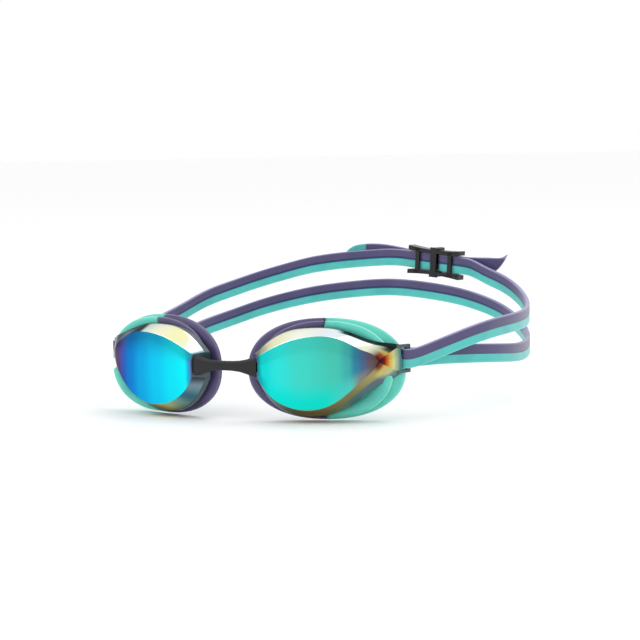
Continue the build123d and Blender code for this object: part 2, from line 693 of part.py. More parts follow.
# ---------------------------------------------------------------- adjuster buckle
buckle_face = Plane(origin=at_buckle(0, -BUCKLE_HEAD_SIDE), x_dir=buckle_way, z_dir=buckle_out * -1)
fold_post_base = Plane(
    origin=at_buckle(0, FOLD_RADIUS, -BUCKLE_WINDOW / 2 - POST_OVERRUN),
    x_dir=buckle_way,
    z_dir=buckle_up,
)
with BuildPart() as adjuster_buckle:
    # Rails above and below, waisted in the middle, open at both ends for the strap.
    with BuildSketch(buckle_face):
        with BuildLine():
            reach = BUCKLE_LENGTH / 2
            end_top = BUCKLE_END_HEIGHT / 2
            waist = BUCKLE_WAIST_HEIGHT / 2
            ThreePointArc((-reach, end_top), (0, waist), (reach, end_top))
            Line((reach, end_top), (reach, -end_top))
            ThreePointArc((reach, -end_top), (0, -waist), (-reach, -end_top))
            Line((-reach, -end_top), (-reach, end_top))
        make_face()
        Rectangle(BUCKLE_LENGTH, BUCKLE_WINDOW, mode=Mode.SUBTRACT)
    extrude(amount=-(BUCKLE_HEAD_SIDE + BUCKLE_RAIL_OUTSIDE))
    # Three bars on the head side.
    with BuildSketch(buckle_face):
        with Locations((-BUCKLE_BAR_SPACING, 0), (BUCKLE_BAR_SPACING, 0)):
            Rectangle(BUCKLE_BAR_WIDTH, BUCKLE_WAIST_HEIGHT)
        Rectangle(BUCKLE_KEEPER_WIDTH, BUCKLE_KEEPER_HEIGHT)
    extrude(amount=-BUCKLE_BAR_DEPTH)
    # Keeper bumps above and below, and the keeper's outer bar.
    with BuildSketch(buckle_face):
        Rectangle(BUCKLE_KEEPER_WIDTH, BUCKLE_KEEPER_HEIGHT)
        Rectangle(BUCKLE_KEEPER_WIDTH, BUCKLE_WINDOW, mode=Mode.SUBTRACT)
    extrude(amount=-(BUCKLE_HEAD_SIDE + BUCKLE_OUTSIDE))
    with BuildSketch(buckle_face.offset(-(BUCKLE_HEAD_SIDE + BUCKLE_OUTSIDE))):
        Rectangle(BUCKLE_OUTER_BAR_WIDTH, BUCKLE_KEEPER_HEIGHT)
    extrude(amount=BUCKLE_OUTER_BAR_DEPTH)
    # Posts that the two bands fold round.
    with BuildSketch(fold_post_base):
        with Locations((-FOLD_POST_X, 0), (FOLD_POST_X, 0)):
            Circle(FOLD_POST_RADIUS)
    extrude(amount=BUCKLE_WINDOW + 2 * POST_OVERRUN)
adjuster_buckle.part.label = "adjuster_buckle"

# ---------------------------------------------------------------- files
PIECES = [
    lens_left,
    lens_right,
    gasket_left_nose,
    gasket_left_temple,
    gasket_right_nose,
    gasket_right_temple,
    nose_bridge,
    *turns,
    *strands,
    tail_left,
    tail_right,
    tail_right_tip,
    adjuster_buckle,
]
for piece in PIECES:
    export_step(piece.part, f"parts/{piece.part.label}.step")
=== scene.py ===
from math import atan2, copysign, cos, pi, radians, sin, sqrt

import bmesh
import bpy
from mathutils import Matrix, Vector


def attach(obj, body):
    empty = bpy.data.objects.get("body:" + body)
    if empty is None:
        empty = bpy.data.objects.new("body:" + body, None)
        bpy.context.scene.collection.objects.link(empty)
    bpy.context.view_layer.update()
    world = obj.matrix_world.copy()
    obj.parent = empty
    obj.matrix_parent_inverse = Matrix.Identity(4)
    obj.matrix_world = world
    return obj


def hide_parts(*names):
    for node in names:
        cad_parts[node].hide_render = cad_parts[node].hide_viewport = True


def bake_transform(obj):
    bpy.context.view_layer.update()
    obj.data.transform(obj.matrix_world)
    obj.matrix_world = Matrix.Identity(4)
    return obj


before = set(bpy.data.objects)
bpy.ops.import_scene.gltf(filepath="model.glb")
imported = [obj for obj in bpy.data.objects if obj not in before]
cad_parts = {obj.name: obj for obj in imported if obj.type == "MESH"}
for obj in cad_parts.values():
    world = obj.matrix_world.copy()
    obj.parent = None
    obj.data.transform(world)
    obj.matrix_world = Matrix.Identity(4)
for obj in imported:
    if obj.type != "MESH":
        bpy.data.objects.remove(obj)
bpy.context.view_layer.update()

# Mirrored lenses. Each is one clear polycarbonate moulding: an almond front face, a bevel flared
# round it and an arm swept back to two prongs and a strap post. The front is vacuum coated with a
# thin colour mirror, and the inside is left as smoked plastic.
MM = 0.001
EYE_HALF_SPACING = 37.4
EYE_YAW = radians(13.7)
FACE_CREST = 8.0
FACE_FLAT_END = 8.0
FACE_NOSE_RADIUS = 225.0
FACE_WRAP_RADIUS = 24.0
FACE_CROWN = 0.45
FACE_CROWN_HEIGHT = 12.0
BEVEL_CROWN = 0.5
ARM_MID_HEIGHT = 3.8
ARM_END = (30.0, -6.2)
ARM_HALF_HEIGHT = 5.6
ARM_SWELL = 0.55
FLANGE_THICKNESS = 2.2
FLANGE_INWARD = 0.45
LENS_WALL = 2.2
FACE_EDGE = [
    (-25.0, 5.9, -3.1),
    (-20.0, 8.6, -9.8),
    (-12.0, 12.0, -14.2),
    (-4.0, 13.7, -15.1),
    (3.0, 13.9, -13.6),
    (10.0, 12.0, -9.4),
    (17.0, 8.3, -3.1),
    (20.7, 6.4, 0.5),
    (22.4, 4.05, 3.55),
]
BEVEL_EDGE = [
    (-27.0, 6.4, -4.0, 1.3),
    (-22.5, 10.6, -11.0, 1.3),
    (-13.5, 15.4, -17.2, 1.3),
    (-4.5, 16.8, -18.6, 1.3),
    (4.0, 16.6, -17.2, 1.3),
    (13.0, 14.2, -12.6, 1.3),
    (22.0, 11.2, -6.0, 0.0),
    (26.2, 10.4, -4.1, -2.9),
    (30.0, 9.4, -1.8, -6.2),
]
# Share of the way along the bevel at each of its stations, for the coat's colours and its painted
# reflections.
BEVEL_SHARES = [0.0, 0.143, 0.286, 0.429, 0.571, 0.714, 0.857, 0.93, 1.0]
EYE_POCKET = [
    (-21.0, 0.5),
    (-16.0, -8.6),
    (-4.0, -12.4),
    (8.0, -7.2),
    (15.5, 1.5),
    (9.0, 8.6),
    (-3.0, 11.2),
    (-16.0, 8.2),
]
LENS_COLUMNS = 70
LENS_ROWS = 14
BEVEL_ROWS = 6
ARM_STEPS = 12
POCKET_STEPS = 240
POCKET_RINGS = 6


def cup_point(x, y, depth):
    """Place, in millimetres, of a point given in the wearer's left eyecup."""
    return Vector((
        EYE_HALF_SPACING + x * cos(EYE_YAW) + depth * sin(EYE_YAW),
        x * sin(EYE_YAW) - depth * cos(EYE_YAW),
        y,
    ))


def face_depth(x):
    """Depth of the front face: nearly flat by the nose, wrapping round at the temple."""
    past = max(x - FACE_FLAT_END, 0.0)
    drop = min(x, FACE_FLAT_END) ** 2 / (2 * FACE_NOSE_RADIUS)
    drop += past * FACE_FLAT_END / FACE_NOSE_RADIUS
    drop += FACE_WRAP_RADIUS - sqrt(FACE_WRAP_RADIUS**2 - past**2)
    return FACE_CREST - drop


def smooth_line(points, count, start=None, end=None):
    """Evenly stepped points on a smooth curve through the given ones, with end directions if given."""
    last = len(points) - 1
    spans = [(b - a).length for a, b in zip(points, points[1:])]
    low, mid, high = [0.0] * (last + 1), [1.0] * (last + 1), [0.0] * (last + 1)
    want = [None] * (last + 1)
    if start is None:
        mid[0], high[0], want[0] = 2.0, 1.0, 3 * (points[1] - points[0]) / spans[0]
    else:
        want[0] = start.normalized()
    if end is None:
        low[last], mid[last] = 1.0, 2.0
        want[last] = 3 * (points[last] - points[last - 1]) / spans[-1]
    else:
        want[last] = end.normalized()
    for i in range(1, last):
        before, after = spans[i - 1], spans[i]
        low[i], mid[i], high[i] = after, 2 * (before + after), before
        step_in, step_out = points[i] - points[i - 1], points[i + 1] - points[i]
        want[i] = 3 * (after * step_in / before + before * step_out / after)
    for i in range(1, last + 1):
        share = low[i] / mid[i - 1]
        mid[i] -= share * high[i - 1]
        want[i] = want[i] - share * want[i - 1]
    slopes = [None] * (last + 1)
    slopes[last] = want[last] / mid[last]
    for i in range(last - 1, -1, -1):
        slopes[i] = (want[i] - high[i] * slopes[i + 1]) / mid[i]
    total = sum(spans)
    line = []
    for k in range(count):
        distance = total * k / (count - 1)
        i = 0
        while i < last - 1 and distance > spans[i]:
            distance -= spans[i]
            i += 1
        t = min(distance / spans[i], 1.0)
        a, b = points[i], points[i + 1]
        line.append(
            a * (2 * t**3 - 3 * t**2 + 1)
            + b * (3 * t**2 - 2 * t**3)
            + slopes[i] * spans[i] * (t**3 - 2 * t**2 + t)
            + slopes[i + 1] * spans[i] * (t**3 - t**2)
        )
    return line


def tone(red, green, blue):
    """Shader colour from everyday 0 to 255 values."""
    values = [c / 255 for c in (red, green, blue)]
    linear = [c / 12.92 if c <= 0.04045 else ((c + 0.055) / 1.055) ** 2.4 for c in values]
    return (*linear, 1.0)


class Shell:
    """Points, faces, finish coordinates and finish numbers of one piece while it is put together."""

    def __init__(self):
        self.points, self.faces, self.coords, self.finishes = [], [], [], []

    def grid(self, rows, coords, finish=0, flip=False, ring=False):
        """Quads over rows of points; coords has a (u, v) pair for each point."""
        first = len(self.points)
        wide = len(rows[0])
        for row in rows:
            self.points.extend(row)
        flat = [pair for row in coords for pair in row]
        for j in range(len(rows) - 1):
            for i in range(wide if ring else wide - 1):
                k = (i + 1) % wide
                quad = [j * wide + i, j * wide + k, (j + 1) * wide + k, (j + 1) * wide + i]
                if flip:
                    quad.reverse()
                self.faces.append([first + q for q in quad])
                self.coords.append([flat[q] for q in quad])
                self.finishes.append(finish)

    def plain_ring(self, rows, finish=0):
        """Closed rings of points for a finish that uses no coordinates."""
        self.grid(rows, [[(0.0, 0.0)] * len(rows[0])] * len(rows), finish, ring=True)

    def cap(self, loop, finish=0, flip=False):
        """One flat face over a closed loop of points."""
        first = len(self.points)
        self.points.extend(loop)
        order = list(range(first, first + len(loop)))
        if flip:
            order.reverse()
        self.faces.append(order)
        self.coords.append([(0.5, 0.5)] * len(loop))
        self.finishes.append(finish)

    def piece(self, name, finishes, mirrored=False, edge=0.0, edge_angle=32.0, merge=0.002):
        """Blender object from the shell, in metres; mirrored puts it on the wearer's right."""
        mesh = bpy.data.meshes.new(name)
        side = -1 if mirrored else 1
        build = bmesh.new()
        layer = build.loops.layers.uv.new("finish")
        corners = [build.verts.new((side * p.x * MM, p.y * MM, p.z * MM)) for p in self.points]
        for face, coords, finish in zip(self.faces, self.coords, self.finishes):
            if mirrored:
                face, coords = face[::-1], coords[::-1]
            try:
                made = build.faces.new([corners[i] for i in face])
            except ValueError:
                continue
            made.smooth = True
            made.material_index = finish
            for loop, pair in zip(made.loops, coords):
                loop[layer].uv = pair
        bmesh.ops.remove_doubles(build, verts=build.verts, dist=merge * MM)
        bmesh.ops.dissolve_degenerate(build, edges=build.edges, dist=merge * MM)
        bmesh.ops.recalc_face_normals(build, faces=build.faces)
        build.to_mesh(mesh)
        build.free()
        for finish in finishes:
            mesh.materials.append(finish)
        made = bpy.data.objects.new(name, mesh)
        bpy.context.scene.collection.objects.link(made)
        if edge:
            rounding = made.modifiers.new("edges", "BEVEL")
            rounding.width = edge * MM
            rounding.segments = 2
            rounding.limit_method = "ANGLE"
            rounding.angle_limit = radians(edge_angle)
            rounding.harden_normals = True
        weighing = made.modifiers.new("shading", "WEIGHTED_NORMAL")
        weighing.keep_sharp = True
        return made


def new_finish(name, roughness, metallic=0.0, coat=0.0, coat_roughness=0.05, ior=1.5):
    """A material and its shader, with the values that are the same all over set on it."""
    finish = bpy.data.materials.new(name)
    finish.use_nodes = True
    shader = finish.node_tree.nodes["Principled BSDF"]
    shader.inputs["Roughness"].default_value = roughness
    shader.inputs["Metallic"].default_value = metallic
    shader.inputs["Coat Weight"].default_value = coat
    shader.inputs["Coat Roughness"].default_value = coat_roughness
    shader.inputs["IOR"].default_value = ior
    return finish, finish.node_tree, shader


def add_node(tree, kind, **settings):
    node = tree.nodes.new(kind)
    for key, value in settings.items():
        setattr(node, key, value)
    return node


def ramp(tree, value, stops):
    """Colour ramp over a value, from (position, colour) stops."""
    node = add_node(tree, "ShaderNodeValToRGB")
    node.color_ramp.interpolation = "EASE"
    points = node.color_ramp.elements
    points[0].position, points[0].color = stops[0]
    points[1].position, points[1].color = stops[-1]
    for place, colour in stops[1:-1]:
        points.new(place).color = colour
    tree.links.new(value, node.inputs["Fac"])
    return node.outputs["Color"]


def finish_coords(tree):
    """The two finish coordinates of a piece, as separate values."""
    source = add_node(tree, "ShaderNodeUVMap", uv_map="finish")
    parts = add_node(tree, "ShaderNodeSeparateXYZ")
    tree.links.new(source.outputs["UV"], parts.inputs["Vector"])
    return parts.outputs["X"], parts.outputs["Y"]


# The mix node keeps its colour sockets at these places, behind the ones for numbers and vectors.
MIX_FACTOR, MIX_FIRST, MIX_SECOND, MIX_RESULT = 0, 6, 7, 2


def blend_colours(tree, amount, first, second, mode="MIX"):
    """Two colours mixed by an amount; each of the three is a value or another node's output."""
    node = add_node(tree, "ShaderNodeMix", data_type="RGBA", blend_type=mode)
    for source, place in ((amount, MIX_FACTOR), (first, MIX_FIRST), (second, MIX_SECOND)):
        if isinstance(source, (tuple, float)):
            node.inputs[place].default_value = source
        else:
            tree.links.new(source, node.inputs[place])
    return node.outputs[MIX_RESULT]


def cloud(tree, scale, detail=3.0):
    """Noise value fixed to the piece."""
    place = add_node(tree, "ShaderNodeTexCoord")
    noise = add_node(tree, "ShaderNodeTexNoise")
    noise.inputs["Scale"].default_value = scale
    noise.inputs["Detail"].default_value = detail
    tree.links.new(place.outputs["Object"], noise.inputs["Vector"])
    return noise.outputs["Fac"]


def scaled(tree, value, factor, plus=0.0):
    """A shader value times a factor, plus a value or another node's output."""
    node = add_node(tree, "ShaderNodeMath", operation="MULTIPLY_ADD")
    tree.links.new(value, node.inputs[0])
    node.inputs[1].default_value = factor
    if isinstance(plus, float):
        node.inputs[2].default_value = plus
    else:
        tree.links.new(plus, node.inputs[2])
    return node.outputs[0]


def mild_range(tree, value, low, high, from_low=0.0, from_high=1.0):
    node = add_node(tree, "ShaderNodeMapRange")
    node.inputs["From Min"].default_value = from_low
    node.inputs["From Max"].default_value = from_high
    node.inputs["To Min"].default_value = low
    node.inputs["To Max"].default_value = high
    tree.links.new(value, node.inputs["Value"])
    return node.outputs["Result"]


def add_bump(tree, shader, height, strength, distance):
    bump = add_node(tree, "ShaderNodeBump")
    bump.inputs["Strength"].default_value = strength
    bump.inputs["Distance"].default_value = distance * MM
    tree.links.new(height, bump.inputs["Height"])
    tree.links.new(bump.outputs["Normal"], shader.inputs["Normal"])


def toned(stops):
    """Ramp stops from rows of place, red, green and blue."""
    return [(place, tone(*colour)) for place, *colour in stops]


COAT_ROUGHNESS = 0.07
COAT_WANDER = 0.05


def coat_with_painted_reflections(name, along, across=None, across_from=None, tip=None):
    """Colour mirror with painted reflections: the coat's tint and the studio it reflects, painted as
    colours along a surface, others let in across it and others again at its tip.
    """
    finish, tree, shader = new_finish(
        name, COAT_ROUGHNESS, metallic=0.95, coat=0.12, coat_roughness=0.03
    )
    shader.inputs["Specular Tint"].default_value = (0.3, 0.33, 0.36, 1.0)
    u, v = finish_coords(tree)
    centred = scaled(tree, cloud(tree, 55.0, 2.0), COAT_WANDER, -COAT_WANDER / 2)
    place = scaled(tree, centred, 1.0, u)
    colour = ramp(tree, place, toned(along))
    if across:
        share = ramp(tree, v, across_from)
        colour = blend_colours(tree, share, colour, ramp(tree, place, toned(across)))
    if tip:
        near_tip = ramp(tree, u, [(0.0, BLACK), (0.885, BLACK), (0.97, WHITE), (1.0, WHITE)])
        colour = blend_colours(tree, near_tip, colour, ramp(tree, v, toned(tip)))
    tree.links.new(colour, shader.inputs["Base Color"])
    speckle = cloud(tree, 1400.0, 2.0)
    gloss = mild_range(tree, speckle, COAT_ROUGHNESS * 0.8, COAT_ROUGHNESS * 1.4)
    tree.links.new(gloss, shader.inputs["Roughness"])
    return finish


BLACK = (0.0, 0.0, 0.0, 1.0)
WHITE = (1.0, 1.0, 1.0, 1.0)
# Painted reflection colours outward along the arm, from the tip of the face.
ARM_REFLECTION_COLOURS = [
    (0.0, 50, 20, 20), (0.14, 66, 0, 42), (0.26, 120, 22, 18), (0.38, 190, 98, 24),
    (0.5, 206, 170, 84), (0.64, 198, 200, 132), (0.8, 146, 170, 138), (0.92, 86, 130, 128),
    (1.0, 60, 96, 100),
]
# The coat colours are partly the mirror's own tint and partly painted reflection: the whites, blacks and
# gradients on the faces, bevels and arms stand for the studio seen in the mirror, painted fixed on each
# lens, so the two lenses are painted differently.
coat_and_reflection_left = {
    "face": coat_with_painted_reflections(
        "mirror_face_left",
        [
            (0.0, 14, 110, 128), (0.05, 8, 205, 202), (0.18, 40, 214, 208), (0.36, 60, 202, 188),
            (0.68, 66, 186, 168), (0.77, 60, 165, 162), (0.84, 45, 122, 150), (0.89, 70, 96, 135),
            (0.94, 92, 78, 92), (1.0, 88, 62, 40),
        ],
        [
            (0.0, 10, 150, 165), (0.12, 0, 214, 204), (0.55, 0, 208, 190), (0.78, 70, 190, 180),
            (0.88, 120, 120, 120), (1.0, 80, 60, 45),
        ],
        [(0.0, WHITE), (0.09, WHITE), (0.42, BLACK), (1.0, BLACK)],
    ),
    "upper": coat_with_painted_reflections(
        "mirror_upper_bevel_left",
        [
            (0.0, 120, 130, 120), (0.08, 205, 205, 160), (0.2, 246, 244, 205), (0.36, 254, 255, 242),
            (0.6, 240, 250, 255), (0.74, 215, 232, 240), (0.86, 238, 240, 214), (0.93, 190, 205, 180),
            (1.0, 120, 90, 50),
        ],
        [
            (0.0, 150, 160, 135), (0.2, 250, 248, 214), (0.6, 250, 253, 250), (0.66, 60, 72, 70),
            (0.7, 16, 30, 30), (1.0, 14, 44, 42),
        ],
        [(0.0, BLACK), (0.62, BLACK), (0.74, WHITE), (1.0, WHITE)],
        [
            (0.0, 60, 10, 40), (0.2, 150, 60, 20), (0.4, 190, 170, 100), (0.55, 60, 70, 60),
            (0.7, 12, 28, 26), (1.0, 20, 56, 52),
        ],
    ),
    "lower": coat_with_painted_reflections(
        "mirror_lower_bevel_left",
        [
            (0.0, 70, 80, 110), (0.06, 200, 225, 235), (0.13, 120, 165, 170), (0.24, 150, 146, 112),
            (0.42, 172, 150, 92), (0.6, 168, 152, 100), (0.76, 140, 128, 86), (0.88, 150, 140, 92),
            (0.95, 196, 190, 128), (1.0, 150, 165, 130),
        ],
        [
            (0.0, 60, 56, 80), (0.1, 210, 225, 230), (0.22, 132, 126, 104), (0.45, 196, 174, 118),
            (0.62, 150, 160, 130), (0.74, 92, 124, 128), (0.88, 88, 106, 116), (1.0, 74, 110, 112),
        ],
        [(0.0, BLACK), (0.4, BLACK), (0.62, WHITE), (1.0, WHITE)],
        [
            (0.0, 60, 14, 36), (0.16, 120, 60, 24), (0.34, 190, 170, 96), (0.6, 176, 182, 130),
            (0.8, 96, 128, 128), (1.0, 70, 104, 108),
        ],
    ),
    "arm": coat_with_painted_reflections("mirror_arm_left", ARM_REFLECTION_COLOURS),
}
coat_and_reflection_right = {
    "face": coat_with_painted_reflections(
        "mirror_face_right",
        [
            (0.0, 90, 70, 130), (0.03, 30, 160, 200), (0.07, 0, 228, 236), (0.2, 0, 214, 232),
            (0.4, 0, 188, 228), (0.56, 0, 158, 216), (0.7, 0, 120, 196), (0.78, 40, 92, 180),
            (0.84, 92, 78, 150), (0.9, 128, 82, 112), (1.0, 84, 40, 60),
        ],
        [
            (0.0, 30, 150, 170), (0.12, 20, 196, 205), (0.4, 10, 150, 190), (0.7, 10, 100, 160),
            (0.85, 80, 70, 130), (1.0, 80, 40, 60),
        ],
        [(0.0, BLACK), (0.6, BLACK), (0.97, WHITE), (1.0, WHITE)],
    ),
    "upper": coat_with_painted_reflections(
        "mirror_upper_bevel_right",
        [
            (0.0, 90, 120, 135), (0.05, 225, 245, 245), (0.12, 244, 248, 214), (0.24, 250, 246, 190),
            (0.42, 252, 252, 222), (0.52, 240, 248, 236), (0.57, 60, 72, 76), (0.64, 18, 28, 32),
            (0.82, 56, 74, 82), (1.0, 96, 80, 110),
        ],
    ),
    "lower": coat_with_painted_reflections(
        "mirror_lower_bevel_right",
        [
            (0.0, 56, 60, 72), (0.07, 120, 146, 156), (0.16, 70, 122, 144), (0.24, 150, 190, 176),
            (0.31, 214, 222, 172), (0.4, 230, 214, 136), (0.52, 208, 200, 160), (0.62, 150, 170, 170),
            (0.78, 110, 140, 160), (1.0, 60, 50, 80),
        ],
    ),
    "arm": coat_with_painted_reflections(
        "mirror_arm_right",
        [
            (0.0, 90, 50, 70), (0.2, 96, 44, 84), (0.45, 70, 40, 60), (0.75, 60, 66, 76),
            (1.0, 40, 60, 70),
        ],
    ),
}


def plain_plastic(name, colour, roughness, variation, coat=0.2, grain=900.0, depth=0.02):
    """Moulded plastic: a faint drift of colour, mottled gloss and a fine mould grain."""
    finish, tree, shader = new_finish(name, roughness, coat=coat)
    shader.inputs["Specular IOR Level"].default_value = 0.35
    paler = (*(c * variation for c in colour[:3]), 1.0)
    tree.links.new(
        ramp(tree, cloud(tree, 60.0, 2.0), [(0.3, colour), (0.7, paler)]), shader.inputs["Base Color"]
    )
    speck = cloud(tree, grain)
    gloss = mild_range(tree, speck, roughness * 0.85, roughness * 1.2)
    tree.links.new(gloss, shader.inputs["Roughness"])
    add_bump(tree, shader, speck, 0.35, depth)
    return finish


smoked = plain_plastic("smoked_inside", tone(38, 52, 66), 0.12, 1.25, coat=0.5, depth=0.004)
prong_coat = plain_plastic("mirror_prong", tone(44, 66, 70), 0.16, 1.5, coat=0.6, depth=0.004)


def even_columns(points):
    """Smooth curve through stations with the same number of steps between each pair."""
    steps = (LENS_COLUMNS - 1) // (len(points) - 1)
    fine = smooth_line([cup_point(*p) for p in points], 20 * LENS_COLUMNS)
    spans = [(cup_point(*b) - cup_point(*a)).length for a, b in zip(points, points[1:])]
    total = sum(spans)
    line = []
    walked = 0.0
    for i, span in enumerate(spans):
        for k in range(steps):
            line.append(fine[round((walked + span * k / steps) / total * (len(fine) - 1))])
        walked += span
    line.append(fine[-1])
    return line


face_top = even_columns([(x, top, face_depth(x)) for x, top, low in FACE_EDGE])
face_low = even_columns([(x, low, face_depth(x)) for x, top, low in FACE_EDGE])
bevel_top = even_columns([(x, top, depth) for x, top, low, depth in BEVEL_EDGE])
bevel_low = even_columns([(x, low, depth) for x, top, low, depth in BEVEL_EDGE])
columns = len(face_top)
span_steps = (columns - 1) // (len(BEVEL_SHARES) - 1)
bevel_shares = []
for first_share, last_share in zip(BEVEL_SHARES, BEVEL_SHARES[1:]):
    bevel_shares += [first_share + (last_share - first_share) * k / span_steps for k in range(span_steps)]
bevel_shares.append(1.0)
cup_centre = cup_point(0, 0, 0)
forward = cup_point(0, 0, 1) - cup_centre
outward = cup_point(1, 0, 0) - cup_centre
backward_shift = -forward * FLANGE_THICKNESS - outward * (FLANGE_INWARD * FLANGE_THICKNESS)
PRONG_ANGLE = radians(35)
PRONG_INSET = 1.0
PRONG_HEIGHT = 1.3
PRONG_OUTLINE = [(-2.4, -1.0), (4.5, -1.0), (5.3, -0.7), (5.8, 0.0), (5.3, 0.7), (4.5, 1.0), (-2.4, 1.0)]
POST_ALONG = 4.2
POST_RADIUS = 1.3
POST_HALF_HEIGHT = 5.0
POST_SIDES = 20
# Direction square to the arm, across and forward, in which it swells.
ARM_NORMAL = (0.755, 0.656)
END_STEPS = 8
BACK_DEPTH = -0.9
POCKET_MIDDLE = (-3.0, -0.6)


def cross_steps(low, high):
    """Points across an end of the lens, from its lower edge to its upper one."""
    return [low.lerp(high, t / END_STEPS) for t in range(END_STEPS + 1)]


def hollow_front(p):
    """Point on the inside of the face, straight in front of one on the back of the lens."""
    return p + forward * (face_depth((p - cup_centre).dot(outward)) - LENS_WALL - BACK_DEPTH)


def bulged(low, high, share):
    """Point part of the way across the bevel, which is very slightly rounded."""
    return low.lerp(high, share) + forward * BEVEL_CROWN * share * (1 - share)


face_length = FACE_EDGE[-1][0] - FACE_EDGE[0][0]


def lens_shell():
    shell = Shell()
    rows, coords = [], []
    for j in range(LENS_ROWS + 1):
        v = j / LENS_ROWS
        row = []
        for low, top in zip(face_low, face_top):
            crown = FACE_CROWN * min(1.0, (top - low).length / FACE_CROWN_HEIGHT)
            row.append(low.lerp(top, v) + forward * crown * 4 * v * (1 - v))
        rows.append(row)
        coords.append([(((p - cup_centre).dot(outward) - FACE_EDGE[0][0]) / face_length, v) for p in row])
    shell.grid(rows, coords, 0)
    for inner, outer, finish, flip in ((face_top, bevel_top, 1, False), (face_low, bevel_low, 2, True)):
        rows, coords = [], []
        for j in range(BEVEL_ROWS + 1):
            v = j / BEVEL_ROWS
            rows.append([bulged(a, b, v) for a, b in zip(inner, outer)])
            coords.append([(share, v) for share in bevel_shares])
        shell.grid(rows, coords, finish, flip)
    # Arm facet, from the tip of the face out to the prongs.
    swell = (outward * ARM_NORMAL[0] + forward * ARM_NORMAL[1]).normalized()
    rows, coords = [], []
    for j in range(ARM_STEPS + 1):
        s = j / ARM_STEPS
        low, top = bulged(face_low[-1], bevel_low[-1], s), bulged(face_top[-1], bevel_top[-1], s)
        shares = [t / END_STEPS for t in range(END_STEPS + 1)]
        rows.append([
            low.lerp(top, t) + swell * ARM_SWELL * 16 * s * (1 - s) * t * (1 - t) for t in shares
        ])
        coords.append([(s, t) for t in shares])
    shell.grid(rows, coords, 3, True)
    # Nose end.
    shell.grid(
        [cross_steps(face_low[0], face_top[0]), cross_steps(bevel_low[0], bevel_top[0])],
        [[(0.0, t / END_STEPS) for t in range(END_STEPS + 1)]] * 2,
        4,
    )
    # Flange edge, back face and the pocket in front of the eye.
    rim = bevel_top[:-1] + cross_steps(bevel_top[-1], bevel_low[-1])
    rim += bevel_low[-2::-1]
    rim += cross_steps(bevel_low[0], bevel_top[0])[1:-1]
    back = [p + backward_shift for p in rim]
    # The closed outline is run three times over, and the middle run is kept, so that it has no kink.
    fine = smooth_line([cup_point(x, y, BACK_DEPTH) for x, y in EYE_POCKET * 3], 3 * POCKET_STEPS)
    pocket_fine = fine[POCKET_STEPS:2 * POCKET_STEPS]
    middle = cup_point(*POCKET_MIDDLE, BACK_DEPTH)

    def angle_of(p):
        offset = p - middle
        return atan2(offset.z, offset.dot(outward))

    pocket_angles = [angle_of(p) for p in pocket_fine]

    def pocket_at(angle):
        gaps = [abs((a - angle + pi) % (2 * pi) - pi) for a in pocket_angles]
        return pocket_fine[gaps.index(min(gaps))]

    opening = [pocket_at(angle_of(p)) for p in back]
    rings = [
        [hollow_front(middle.lerp(p, 1 - k / POCKET_RINGS)) for p in opening] for k in range(POCKET_RINGS)
    ]
    shell.plain_ring([rim, back], 4)
    shell.plain_ring([back, opening], 5)
    shell.plain_ring([opening, rings[0]], 5)
    shell.plain_ring(rings, 5)
    shell.cap(rings[-1], 5)
    # Two prongs, with the strap post between them.
    prong_way = outward * sin(PRONG_ANGLE) - forward * cos(PRONG_ANGLE)
    prong_side = outward * cos(PRONG_ANGLE) + forward * sin(PRONG_ANGLE)
    root = cup_point(ARM_END[0], ARM_MID_HEIGHT, ARM_END[1]) - prong_side * PRONG_INSET
    for lift in (ARM_HALF_HEIGHT - PRONG_HEIGHT, -ARM_HALF_HEIGHT):
        lower = [
            root + prong_way * along + prong_side * across + Vector((0, 0, lift))
            for along, across in PRONG_OUTLINE
        ]
        upper = [p + Vector((0, 0, PRONG_HEIGHT)) for p in lower]
        shell.plain_ring([lower, upper], 6)
        shell.cap(lower, 6, True)
        shell.cap(upper, 6)
    post = root + prong_way * POST_ALONG
    turns = [2 * pi * i / POST_SIDES for i in range(POST_SIDES)]
    shell.plain_ring([
        [post + Vector((POST_RADIUS * cos(a), POST_RADIUS * sin(a), height)) for a in turns]
        for height in (-POST_HALF_HEIGHT, POST_HALF_HEIGHT)
    ], 6)
    return shell


for side, coat, mirrored in (("left", coat_and_reflection_left, False), ("right", coat_and_reflection_right, True)):
    lens = lens_shell().piece(
        "mirror_lens_" + side,
        [coat["face"], coat["upper"], coat["lower"], coat["arm"], prong_coat, smoked, prong_coat],
        mirrored=mirrored,
        edge=0.22,
    )
    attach(lens, "goggle_frame")
    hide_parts("lens_" + side)

# Gaskets. A soft elastomer skirt is moulded on the back of each lens: a rounded bead in front, a
# groove, then a wide lip that seals on the skin. It is shot in two colours, meeting above and below.
OVAL_POWER = 2.24
GASKET_STEPS = 96
